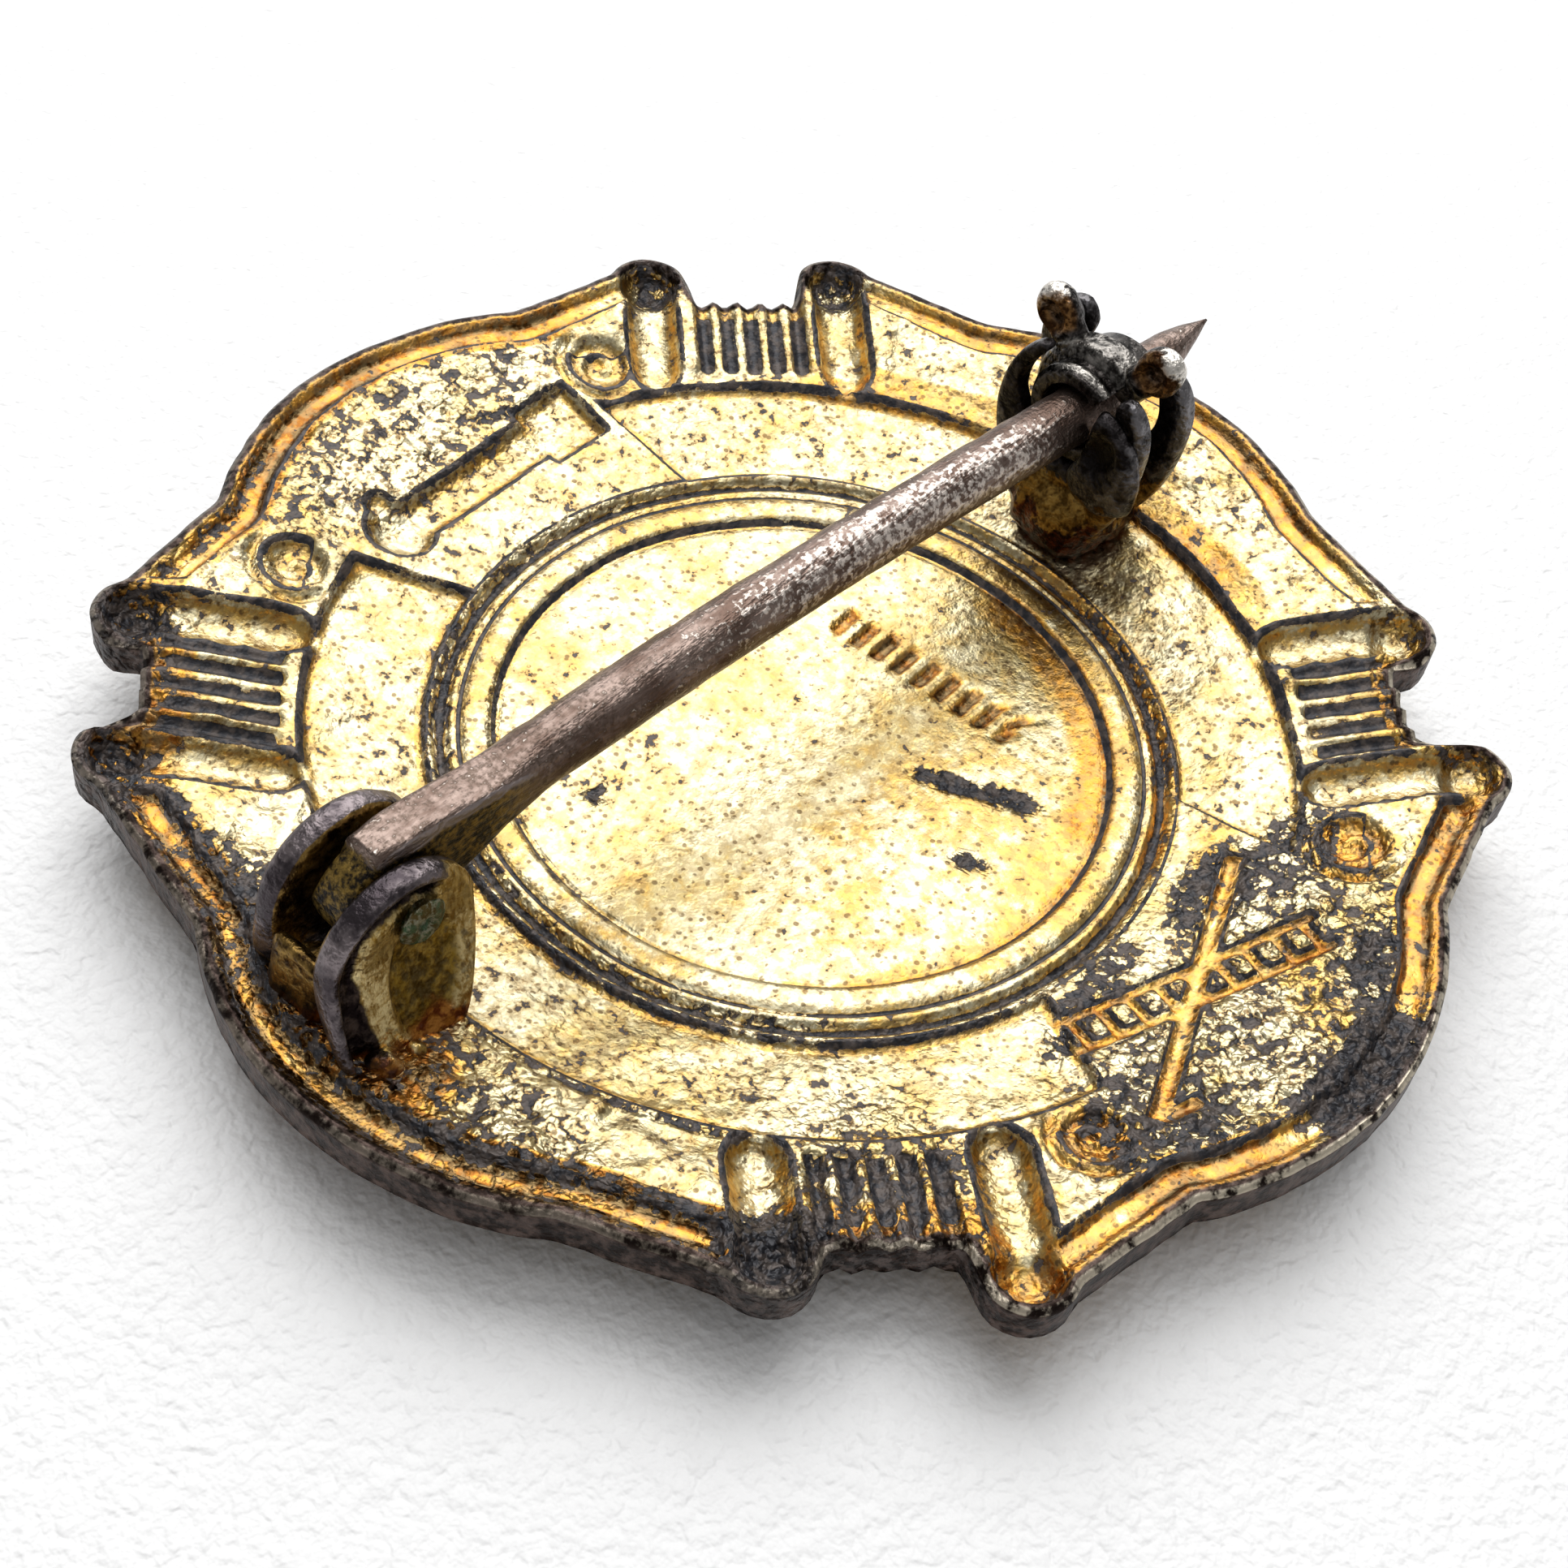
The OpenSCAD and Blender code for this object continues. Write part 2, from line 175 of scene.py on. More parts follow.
floor_mesh = bpy.data.meshes.new("floor")
floor_half, floor_drop = 600 * MM, 0.02 * MM
corners = [
    (x * floor_half, y * floor_half, -floor_drop) for x, y in ((-1, -1), (1, -1), (1, 1), (-1, 1))
]
floor_mesh.from_pydata(corners, [], [(0, 1, 2, 3)])
floor = bpy.data.objects.new("floor", floor_mesh)
scene.collection.objects.link(floor)
floor_mesh.materials.append(finish_of("white_leatherette", leatherette))

azimuth, elevation, roll = (math.radians(angle) for angle in (-58.464, 48.578, 10.058))
camera_distance = 50.93 * MM
camera_aim = Vector((-1.251, -0.479, 0.9)) * MM
away = Vector((
    math.sin(azimuth) * math.cos(elevation), -math.cos(azimuth) * math.cos(elevation), math.sin(elevation),
))
camera = bpy.data.objects.new("camera", bpy.data.cameras.new("camera"))
camera.data.lens = 57.785
camera.data.sensor_width = 36
camera.data.clip_start = 1 * MM
camera.location = camera_aim + away * camera_distance
camera.rotation_mode = "QUATERNION"
camera.rotation_quaternion = away.to_track_quat("Z", "Y") @ Quaternion((0, 0, 1), roll)
scene.collection.objects.link(camera)
scene.camera = camera

# azimuth and elevation of each lamp as seen from the badge, distance and side in mm, and watts
lamps = [
    ("window_behind", 130, 50, 320, 380, 1.28),
    ("overhead", -20, 82, 320, 260, 0.18),
]
for name, turn, height, distance, side, watts in lamps:
    turn, height = math.radians(turn), math.radians(height)
    flat = math.cos(height)
    towards = Vector((math.sin(turn) * flat, -math.cos(turn) * flat, math.sin(height)))
    lamp = bpy.data.objects.new(name, bpy.data.lights.new(name, "AREA"))
    lamp.data.size = side * MM
    lamp.data.energy = watts
    lamp.location = towards * distance * MM
    lamp.rotation_mode = "QUATERNION"
    lamp.rotation_quaternion = towards.to_track_quat("Z", "Y")
    scene.collection.objects.link(lamp)
world = bpy.data.worlds.new("studio")
world.use_nodes = True
world.node_tree.nodes["Background"].inputs["Color"].default_value = (1, 1, 1, 1)
world.node_tree.nodes["Background"].inputs["Strength"].default_value = 0.30
scene.world = world
scene.view_settings.view_transform = "Standard"


# ---- Struck cross ----------------------------------------------------------------------------
# One sheet of silver, struck in a die, so that what stands up on its front is sunk in this back,
# then trimmed by hand and gilded. The gilding has worn to a pale cream, with black and orange
# tarnish along every step.
sheet = 0.9
groove_r, banner_r = 7.65, 10.15
banner_sunk, wall = 0.22, 0.15
arm_reach, arm_half, waist_reach, waist_angle = 13.9, 30, 13.2, math.radians(20)
notch_reach, web_drop, knob_offset, knob_reach, knob_r, shoulder = 12.75, 0.25, 2.15, 14.4, 0.92, 0.85
edge_w, border_w, border_stop = 0.36, 0.55, 2.85
# direction in degrees, share of notch_reach, then each knob's shares of knob_offset and knob_reach
Notch = namedtuple("Notch", "direction reach right left")
notches = [
    Notch(45.5, 0.99, (0.99, 0.984), (1.07, 0.976)),
    Notch(133.3, 1.04, (0.87, 1.0), (0.87, 0.998)),
    Notch(225.0, 0.99, (0.98, 0.944), (1.07, 0.98)),
    Notch(315.0, 0.99, (0.95, 0.996), (0.89, 0.96)),
]
# distance from the centre and height over the disc, across the rings
ring_profile = np.array([
    (0, 0), (6.2, 0), (6.27, -0.03), (6.34, 0), (6.44, 0.15), (6.54, 0.18), (6.98, 0.18), (7.04, 0.11),
    (7.1, 0.11), (7.16, 0.18), (7.27, 0.16), (7.36, 0.02), (7.5, 0.0), (7.58, 0.17), (7.66, 0.24),
    (12.75, 1.35), (16.4, 1.45),
])
full_turn = 2 * np.pi
nowhere = 9.0  # a gap wider than any that counts, in mm


def turned(x, y, degrees):
    c, s = math.cos(math.radians(degrees)), math.sin(math.radians(degrees))
    return x * c - y * s, x * s + y * c


def eased(value, low, high):
    """0 below low and 1 above high, with a smooth slope between."""
    t = np.clip((value - low) / (high - low), 0, 1)
    return t * t * (3 - 2 * t)


def uneven(x, y, pitch, seed):
    """Smooth noise from -1 to 1 over the plan, with marks about a pitch across."""
    size = 64
    table = np.random.default_rng(seed).uniform(-1, 1, (size, size))
    u, v = np.mod(x / pitch, size), np.mod(y / pitch, size)
    i, j = np.floor(u).astype(int) % size, np.floor(v).astype(int) % size
    s, t = eased(u - np.floor(u), 0, 1), eased(v - np.floor(v), 0, 1)
    i2, j2 = (i + 1) % size, (j + 1) % size
    low = table[i, j] * (1 - s) + table[i2, j] * s
    high = table[i, j2] * (1 - s) + table[i2, j2] * s
    return low * (1 - t) + high * t


def knob(notch, side):
    """Middle of a knob with its notch turned to point along +Y: side 1 is clockwise, -1 the other."""
    offset, reach = notch.right if side > 0 else notch.left
    return side * knob_offset * offset, knob_reach * reach - knob_r


def outline_reach(angles):
    """Distance from the centre to the edge of the cross in each direction, in mm."""
    cos, sin = np.cos(angles), np.sin(angles)
    reach = np.full(len(angles), notch_reach - web_drop)

    def circle(cx, cy, r):
        along = cx * cos + cy * sin
        under = r * r - (cx * cx + cy * cy) + along * along
        hit = along + np.sqrt(np.maximum(under, 0))
        return np.where((under > 0) & (hit > 0), hit, 0)

    def polygon(points):
        hits = np.zeros(len(angles))
        for (ax, ay), (bx, by) in zip(points, points[1:] + points[:1]):
            ex, ey = bx - ax, by - ay
            cross = cos * ey - sin * ex
            with np.errstate(divide="ignore", invalid="ignore"):
                far = (ax * ey - ay * ex) / cross
                share = (ax * sin - ay * cos) / cross
            met = (np.abs(cross) > 1e-9) & (share >= 0) & (share <= 1) & (far > hits)
            hits = np.where(met, far, hits)
        return hits

    waist = (waist_reach * math.cos(waist_angle), waist_reach * math.sin(waist_angle))
    sag = arm_reach - waist[0]
    arc = (waist[1] ** 2 + sag ** 2) / (2 * sag)
    for i, notch in enumerate(notches):
        arm_end = circle(*turned(arm_reach - arc, 0, 90 * i), arc)
        from_arm = np.abs(np.mod(np.degrees(angles) - 90 * i + 180, 360) - 180)
        reach = np.maximum(reach, np.where(from_arm < arm_half, arm_end, 0))
        edge = notch_reach * notch.reach
        web = [(0, -knob_r), (knob(notch, 1)[0], edge), (knob(notch, -1)[0], edge)]
        reach = np.maximum(reach, polygon([turned(x, y, notch.direction - 90) for x, y in web]))
        for side in (-1, 1):
            middle = turned(*knob(notch, side), notch.direction - 90)
            beside = turned(waist[0], side * waist[1], 90 * i + (0 if side > 0 else 90))
            way = (middle[0] - beside[0], middle[1] - beside[1])
            size = side * shoulder * knob_r / math.hypot(*way)
            corner = (middle[0] + size * way[1], middle[1] - size * way[0])
            reach = np.maximum(reach, polygon([(0, 0), beside, corner, middle]))
            reach = np.maximum(reach, circle(*middle, knob_r))
    return reach


# Points along the edge, softened and spread evenly by its length
fine_steps, around, soft_half = 7200, 800, 14
fine = np.linspace(0, full_turn, fine_steps, endpoint=False)
fine_reach = outline_reach(fine)
soft = np.exp(-0.5 * (np.arange(-soft_half, soft_half + 1) / 5.0) ** 2)
looped = np.concatenate([fine_reach[-soft_half:], fine_reach, fine_reach[:soft_half]])
fine_reach = np.convolve(looped, soft / soft.sum(), "valid")
fine_reach -= 0.02 + 0.02 * uneven(fine * 13, fine * 0, 0.35, 3)
fine_x, fine_y = fine_reach * np.cos(fine), fine_reach * np.sin(fine)
run = np.cumsum(np.hypot(np.diff(fine_x, append=fine_x[0]), np.diff(fine_y, append=fine_y[0])))
stops = np.arange(around) / around * run[-1]
edge_angle = np.interp(stops, np.concatenate([[0], run[:-1]]), fine)
edge_reach = np.interp(edge_angle, fine, fine_reach, period=full_turn)
edge_x, edge_y = edge_reach * np.cos(edge_angle), edge_reach * np.sin(edge_angle)


def inset(x, y):
    """Distance inside the edge of the cross, for points near it, from the stretches of edge near by."""
    at = np.searchsorted(edge_angle, np.mod(np.arctan2(y, x), full_turn))
    best = np.full(x.shape, nowhere)
    for step in range(-34, 35):
        j = (at + step) % around
        k = (j + 1) % around
        ex, ey = edge_x[k] - edge_x[j], edge_y[k] - edge_y[j]
        t = np.clip(((x - edge_x[j]) * ex + (y - edge_y[j]) * ey) / (ex * ex + ey * ey), 0, 1)
        best = np.minimum(best, np.hypot(x - edge_x[j] - t * ex, y - edge_y[j] - t * ey))
    return best


def bar(x, y, mid, angle, length, width):
    """Signed distance to a bar with its middle at mid."""
    u, v = turned(x - mid[0], y - mid[1], -angle)
    a, b = np.abs(u) - length / 2, np.abs(v) - width / 2
    return np.hypot(np.maximum(a, 0), np.maximum(b, 0)) + np.minimum(np.maximum(a, b), 0)


# the banners: gap to the groove, their square ends, and a point and the direction of the slanted ones
banner_clear, banner_end = 0.14, 4.05
slant_x, slant_y, slant_cos, slant_sin = -1.95, 7.4, 0.844, 0.536


def banner_gap(x, y):
    near = groove_r + banner_clear
    ring = np.abs(np.hypot(x, y) - (banner_r + near) / 2) - (banner_r - near) / 2
    slanted = (x - slant_x) * slant_cos + (np.abs(y) - slant_y) * slant_sin
    return np.maximum(ring, np.minimum(banner_end - x, slanted))


# middle, radius and way of turning of the scroll at each end of the banners
scrolls = [
    ((4.9, 10.1), 0.68, 1), ((4.95, -10.1), 0.7, -1), ((-4.5, 10.15), 0.66, -1), ((-4.45, -10.2), 0.62, 1),
]
bowl_deep, coil_pitch, coil_deep, hook_off, hook_half, hook_deep = 0.42, 0.75, 0.12, 0.26, 0.08, 0.16


def scroll_sunk(x, y):
    """The curls: a bowl with a low spiral in it, and a hook round its outer side."""
    sunk, gap = np.zeros(x.shape), np.full(x.shape, nowhere)
    for (cx, cy), r, way in scrolls:
        d = np.hypot(x - cx, y - cy)
        turn = np.arctan2(y - cy, x - cx) * way / full_turn
        coil = np.abs(np.mod(d / (r * coil_pitch) - turn, 1) - 0.5) * r * coil_pitch
        coil = coil_deep * (1 - eased(coil, 0.03, 0.12)) * eased(r - d, 0.05, 0.2)
        bowl = np.where(d < r, bowl_deep * np.sqrt(np.maximum(r * r - d * d, 0)) - coil, 0)
        hook = np.abs(d - r - hook_off) - hook_half + 0.2 * eased(np.cos(full_turn * turn), -0.3, 0.5)
        sunk = np.maximum.reduce([sunk, bowl, hook_deep * eased(-hook, -0.05, 0.05)])
        gap = np.minimum(gap, d - r + 0.4 * eased(np.cos(full_turn * (turn - 0.15)), 0.3, 0.7))
    return sunk, gap


# the ladder and the pole with its hook cross at a distance below the centre
tools_reach, ladder_turn, pole_turn = 9.6, 24, -20
ladder_long, ladder_wide, rail_w, rung_w, rungs = 5.9, 0.8, 0.2, 0.22, 9
pole_long, pole_w, hook_at, hook_turn, hook_long, hook_w = 7.2, 0.38, (-3.2, -0.35), -40, 0.95, 0.3


def tools_gap(x, y):
    u, v = turned(x, y + tools_reach, pole_turn)
    gaps = [bar(u, v, (0, 0), 0, pole_long, pole_w), bar(u, v, hook_at, hook_turn, hook_long, hook_w)]
    u, v = turned(x, y + tools_reach, ladder_turn)
    gaps += [bar(u, v, (0, side * ladder_wide / 2), 0, ladder_long, rail_w) for side in (-1, 1)]
    for i in range(rungs):
        gaps.append(bar(u, v, (ladder_long * ((i + 0.5) / rungs - 0.5), 0), 0, rung_w, ladder_wide))
    return np.minimum.reduce(gaps)


# the hydrant lies along the other arm: barrel, dome, nub, foot and the seam over the foot
hydrant_y, dome_x, dome_r, nub_at, nub_r, seam_x = 9.6, -1.98, 0.72, (-1.9, 10.35), 0.26, 2.15
barrel_deep, nub_deep, seam_deep = 0.26, 0.2, 0.07


def hydrant_sunk(x, y):
    dome = np.hypot(x - dome_x, y - hydrant_y)
    nub = np.hypot(x - nub_at[0], y - nub_at[1]) - nub_r
    barrel = bar(x, y, (0.2, hydrant_y), 0, 4.3, 0.98)
    foot = bar(x, y, (2.95, 9.55), -4, 1.5, 1.5)
    seam = seam_deep * eased(0.05 - np.abs(x - seam_x), 0, 0.05) * (np.abs(y - hydrant_y) < 0.6)
    sunk = np.maximum.reduce([
        0.5 * np.sqrt(np.maximum(dome_r ** 2 - dome ** 2, 0)), barrel_deep * eased(-barrel, -0.06, 0.16),
        nub_deep * eased(-nub, -0.06, 0.1), barrel_deep * eased(-foot, -0.06, 0.12),
    ])
    return sunk - seam, np.minimum.reduce([dome - dome_r, barrel, nub, foot])


# the row of punch marks on the disc
punch_x, punch_y, punch_pitch, punches, punch_long, punch_w, punch_deep = 3.3, 1.5, 0.55, 9, 0.8, 0.26, 0.1


def punch_gap(x, y):
    places = [(punch_x, punch_y - punch_pitch * i) for i in range(punches)]
    return np.minimum.reduce([bar(x, y, place, 0, punch_long, punch_w) for place in places])


# each notch: channels that start at a distance from the centre and end in cups, and flutes between
channel_r, channel_from, channel_deep, cup_r = 0.58, 10.7, 0.85, 0.68
flutes, flute_pitch, flute_deep = 5, 0.55, 0.2


def notch_places(x, y):
    """For each notch: its row, and the points across it and outwards along it."""
    return [(notch, *turned(x, y, 90 - notch.direction)) for notch in notches]


def drops(x, y):
    """How far the marks sink the surface, signed distance to the nearest edge of one, and the inset."""
    depth = inset(x, y)
    tools = tools_gap(x, y)
    border = np.abs(depth - edge_w - border_w / 2) - border_w / 2
    for notch, u, v in notch_places(x, y):
        border = np.maximum(border, np.where((v > 0) & (np.abs(u) < 4), border_stop - np.abs(u), -nowhere))
    flat = np.minimum.reduce([banner_gap(x, y), tools, border])
    sunk = banner_sunk * eased(-flat, -wall / 2, wall / 2)
    # lines round the ladder and the pole are half as wide as the others
    gap = np.minimum(np.where(flat == tools, nowhere, flat), 2 * tools)
    for cast, cast_gap in (hydrant_sunk(x, y), scroll_sunk(x, y)):
        sunk = np.maximum(sunk, cast)
        gap = np.minimum(gap, cast_gap)
    for notch, u, v in notch_places(x, y):
        near = (v > 8) & (np.abs(u) < 4)
        for side in (-1, 1):
            cx, cy = knob(notch, side)
            beside = np.abs(u - cx)
            channel = np.hypot(np.hypot(beside, np.maximum(v - cy, 0)), np.maximum(channel_from - v, 0) * 0.8)
            cup = np.hypot(beside, v - cy)
            cut = np.maximum(
                channel_deep * np.sqrt(np.maximum(channel_r ** 2 - channel ** 2, 0)),
                np.sqrt(np.maximum(cup_r ** 2 - cup ** 2, 0)),
            )
            sunk = np.maximum(sunk, np.where(near, cut, 0))
            gap = np.where(near, np.minimum.reduce([gap, channel - channel_r, cup - cup_r]), gap)
        comb = 0.5 + 0.5 * np.cos(full_turn * u / flute_pitch)
        fluted = near * eased(flutes * flute_pitch / 2 - np.abs(u), -0.02, 0.08) * eased(v, 10.4, 10.65)
        sunk = np.maximum(sunk, flute_deep * comb ** 0.8 * fluted)
        gap = np.where(fluted > 0.5, np.minimum(gap, (comb - 0.5) * -0.16 + 0.08), gap)
    sunk = np.maximum(sunk, punch_deep * eased(-punch_gap(x, y), -0.06, 0.06))
    return sunk, gap, depth


def back_height(x, y):
    """Height of the back over the table in mm, with what the shading needs."""
    r = np.hypot(x, y)
    sunk, gap, depth = drops(x, y)
    z = np.interp(r, ring_profile[:, 0], ring_profile[:, 1]) + sheet - sunk
    field = eased(r, 10.1, 10.5) * eased(depth, 0.85, 1.05) * eased(gap, 0.0, 0.25)
    banner = eased(-banner_gap(x, y), 0.05, 0.3)
    # unevenness: where it is, how high, its pitch and its seed
    for share, high, pitch, seed in (
        (1, 0.02, 1.7, 11), (eased(r, 7.6, 8.2), 0.014, 0.5, 12),
        (field, 0.07, 0.62, 13), (field, 0.05, 0.36, 14), (banner, 0.05, 0.9, 15),
    ):
        z = z + share * high * uneven(x, y, pitch, seed)
    # the lip is rounded off, with a faint line inside it
    z -= 0.1 * (1 - eased(depth, 0, 0.14)) + 0.02 * (1 - eased(np.abs(depth - 0.25), 0.02, 0.08))
    return z, gap, depth


disc_rings = np.concatenate([np.linspace(0.5, 2.6, 5), np.linspace(2.85, 4.4, 13), np.linspace(4.7, 6.1, 5)])
ring_rings = np.concatenate([ring_profile[1:15, 0], (6.76, 7.43, 7.74, 7.8, 7.86)])
banner_rings = np.concatenate([np.linspace(7.97, 9.95, 18), np.linspace(10.03, 10.3, 4)])
outer_shares = np.linspace(0, 1, 38)[1:] ** 0.93
front_shares = np.linspace(0, 1, 34)[1:]
half = slice(None, None, 2)  # the disc and the front have half as many points round


def ring_at(r):
    return r * np.cos(edge_angle), r * np.sin(edge_angle)


centre = (np.zeros(1), np.zeros(1))
back_plan = [centre, *((x[half], y[half]) for x, y in map(ring_at, disc_rings))]
back_plan += [ring_at(r) for r in sorted([*ring_rings, *banner_rings])]
back_plan += [ring_at(10.3 + (edge_reach - 10.3) * share) for share in outer_shares]
front_plan = [(x[half], y[half]) for x, y in (ring_at(edge_reach * share) for share in front_shares)]

spots, faces = [], []


def add_ring(*columns):
    """Adds points: their x, y and height, then their marks gap, inset and hollow."""
    first = sum(len(ring[0]) for ring in spots)
    spots.append(np.broadcast_arrays(*columns))
    return np.arange(first, first + len(columns[0]))


def turned_over(faces):
    """The same faces, each seen from its other side."""
    return [(face[0], *face[:0:-1]) for face in faces]


def join(inner, outer, under=False):
    """Faces between two rings, turned over on the front. The inner may be one point, or half as many."""
    after = np.roll(inner, -1)
    if len(inner) == 1:
        new = zip(np.repeat(inner, len(outer)), outer, np.roll(outer, -1))
    elif len(inner) == len(outer):
        new = zip(inner, outer, np.roll(outer, -1), after)
    else:
        even, odd = outer[0::2], outer[1::2]
        new = [*zip(inner, even, odd), *zip(inner, odd, after), *zip(after, odd, np.roll(even, -1))]
    faces.extend(turned_over(new) if under else new)


back_x, back_y = (np.concatenate(column) for column in zip(*back_plan))
back_z, gap, depth = back_height(back_x, back_y)
# how far each point lies below those 0.13 mm away
ways = [(math.cos(a), math.sin(a)) for a in np.linspace(0, full_turn, 8, endpoint=False)]
hollow = sum(back_height(back_x + 0.13 * c, back_y + 0.13 * s)[0] for c, s in ways) / len(ways) - back_z
rings, at = [], 0
for x, y in back_plan:
    part = slice(at, at + len(x))
    rings.append(add_ring(x, y, back_z[part], gap[part], depth[part], hollow[part]))
    at += len(x)
for inner, outer in zip(rings, rings[1:]):
    join(inner, outer)
# the trimmed edge, bulging a little where the shears pressed it: share of the way down, and place
edge_rows = [(0.14, -0.004), (0.4, -0.001), (0.7, -0.004), (0.93, -0.01)]
last = rings[-1]
for share, bulge in edge_rows:
    z = back_z[-around:] - share * (sheet - 0.12)
    ring = add_ring(*ring_at(edge_reach + bulge), z, 0.5, -share, 0.0)
    join(last, ring)
    last = ring
front_rings = []
for x, y in front_plan:
    z, gap, depth = back_height(x, y)
    z = np.maximum(z - sheet + 0.16 * (1 - eased(depth, 0, 0.2)), 0)
    front_rings.append(add_ring(x, y, z, gap, depth, 0.0))
front_rings.insert(0, add_ring(*centre, 0.0, 1.0, 1.0, 1.0))
for inner, outer in zip(front_rings, front_rings[1:] + [last]):
    join(inner, outer, under=True)

columns = [np.concatenate(column) for column in zip(*spots)]
px, py, pz, gap, depth, hollow = columns
mesh = bpy.data.meshes.new("struck_cross")
points = np.stack([px, py, pz], 1) * MM
mesh.from_pydata(points.tolist(), [], [tuple(int(i) for i in face) for face in faces])
mesh.shade_smooth()
struck_cross = bpy.data.objects.new("struck_cross", mesh)
scene.collection.objects.link(struck_cross)


def carry(mesh, **marks):
    """Gives each point of a mesh values that its finish reads."""
    for name, values in marks.items():
        carried = mesh.attributes.new(name, "FLOAT", "POINT")
        carried.data.foreach_set("value", np.asarray(values, dtype=np.float32))


carry(mesh, gap=gap, inset=depth, hollow=hollow)

# where black tarnish has crept over the gilding: middle, half length and half width, turn, strength
tarnish_spots = [
    (0.2, -11.0, 6.2, 3.2, 0, 0.56),
    (-3.4, -11.0, 1.8, 1.8, 0, 0.9),
    (-1.3, -13.3, 2.3, 0.8, 8, 1.0),
    (2.8, -12.4, 1.8, 1.3, 10, 1.05),
    (4.2, -9.3, 1.5, 1.0, 0, 0.85),
    (-1.5, -8.2, 2.2, 0.5, 10, 0.9),
    (2.3, -8.6, 1.7, 0.9, 5, 1.0),
    (-8.3, -8.5, 2.3, 3.4, -45, 0.6),
    (-9.2, -9.3, 1.0, 1.8, -45, 0.75),
    (-11.3, -8.4, 1.3, 1.5, 0, 1.6),
    (-10.6, -9.6, 0.8, 1.5, -45, 1.2),
    (-10.4, -7.6, 1.0, 0.5, 45, 0.8),
    (-12.1, -3.0, 0.9, 2.4, 15, 0.45),
    (-11.5, 3.6, 1.4, 3.0, -8, 0.8),
    (-12.4, 0.8, 0.8, 1.8, 0, 0.75),
    (-10.2, -7.4, 1.0, 1.3, 45, 1.5),
    (-9.6, 9.7, 1.5, 0.9, -45, 0.5),
    (-8.2, 11.2, 1.4, 0.9, -40, 1.2),
    (-11.1, 8.3, 0.9, 1.2, -45, 1.2),
    (7.9, 11.0, 0.9, 0.7, 45, 0.95),
    (11.0, 8.0, 0.9, 0.8, 45, 0.95),
    (1.2, -2.9, 0.95, 0.3, -68, 1.2),
    (1.7, -4.0, 0.8, 0.33, -70, 1.2),
    (-0.2, -4.4, 0.45, 0.25, -60, 1.1),
    (10.4, -9.6, 1.2, 0.9, 40, 0.55),
    (-3.2, 3.4, 0.3, 0.25, 0, 1.1),
    (-4.2, 2.0, 0.4, 0.2, 20, 1.1),
]
# where the silver has stained orange, as above
stain_spots = [
    (1.0, -5.6, 4.0, 0.6, 10, 0.35),
    (-0.6, -3.6, 3.6, 2.0, 0, 0.26),
    (10.8, 0.6, 2.0, 2.6, 0, 0.7),
    (-12.3, 0.6, 1.0, 2.0, 0, 1.45),
    (-11.9, -0.4, 0.9, 1.1, 0, 1.25),
    (-4.5, -10.2, 0.9, 0.9, 0, 0.75),
    (4.9, -10.1, 0.9, 0.9, 0, 0.7),
    (2.6, -8.3, 1.6, 0.5, 24, 0.45),
    (0.9, -11.6, 1.2, 0.6, 60, 0.4),
    (9.2, -9.2, 1.6, 1.4, 45, 0.5),
    (-11.0, 8.2, 1.3, 1.3, 0, 0.7),
    (-8.2, 11.2, 1.2, 1.0, 0, 0.6),
]
# arcs of stain or tarnish: directions in degrees, then distances from the centre, and strength
ring_stains = [
    (285, 358, 5.75, 6.45, 0.75), (225, 285, 5.9, 6.45, 0.5),
    (-30, 40, 10.1, 10.9, 0.6), (285, 360, 7.3, 7.75, 0.6),
]
ring_tarnish = [
    (105, 225, 7.25, 7.8, 0.62), (225, 300, 7.4, 7.75, 0.5),
    (300, 350, 7.3, 7.75, 0.62), (60, 105, 7.3, 7.7, 0.4),
    (120, 190, 6.3, 6.45, 0.5), (150, 215, 10.15, 10.4, 0.8),
]
# arcs along the edge: directions in degrees, then distances in from the edge, and strength
rim_stains = [
    (243, 262, 0.15, 1.0, 0.8), (278, 307, 0.15, 1.0, 0.8),
    (62, 118, 0.3, 1.1, 0.85), (120, 175, 0.2, 1.0, 0.8),
    (150, 218, 0.15, 0.42, 1.5), (150, 218, 0.5, 0.62, 0.75), (150, 218, 0.7, 1.2, 1.4),
    (-25, 30, 0.3, 0.95, 0.7), (215, 245, 0.2, 0.9, 0.7),
]
rim_tarnish = [
    (262, 279, 0.15, 1.3, 1.6), (140, 218, 0.85, 1.2, 0.85), (140, 218, 0.25, 0.42, 0.7),
    (100, 140, 0.3, 0.6, 0.6),
    (210, 240, 0.25, 0.5, 0.7), (-60, -30, 0.25, 0.45, 0.6),
]
# how thickly dark specks lie, as above
speck_spots = [
    (0.0, 11.3, 5.2, 2.2, 0, 0.54),
    (-3.2, 11.6, 1.6, 1.3, 0, 0.58),
    (11.5, 0.0, 1.8, 5.5, 0, 0.34),
    (-11.7, 0.0, 1.8, 5.8, 0, 0.6),
    (0.0, -11.0, 5.5, 2.4, 0, 0.5),
    (-3.5, 3.5, 2.4, 2.4, 45, 0.28),
    (-9.0, -1.5, 1.2, 5.5, 20, 0.3),
]


def off_way(angle, middle):
    """How far an angle in degrees is from a middle one, at most 180."""
    return np.abs(np.mod(angle - middle + 180, 360) - 180)


def charted(table, x, y):
    """The strongest of a table's ellipses at each point."""
    total = np.zeros(len(x))
    for cx, cy, long, wide, turn, strength in table:
        u, v = turned(x - cx, y - cy, -turn)
        total = np.maximum(total, strength * (1 - eased(np.hypot(u / long, v / wide), 0.55, 1.25)))
    return total


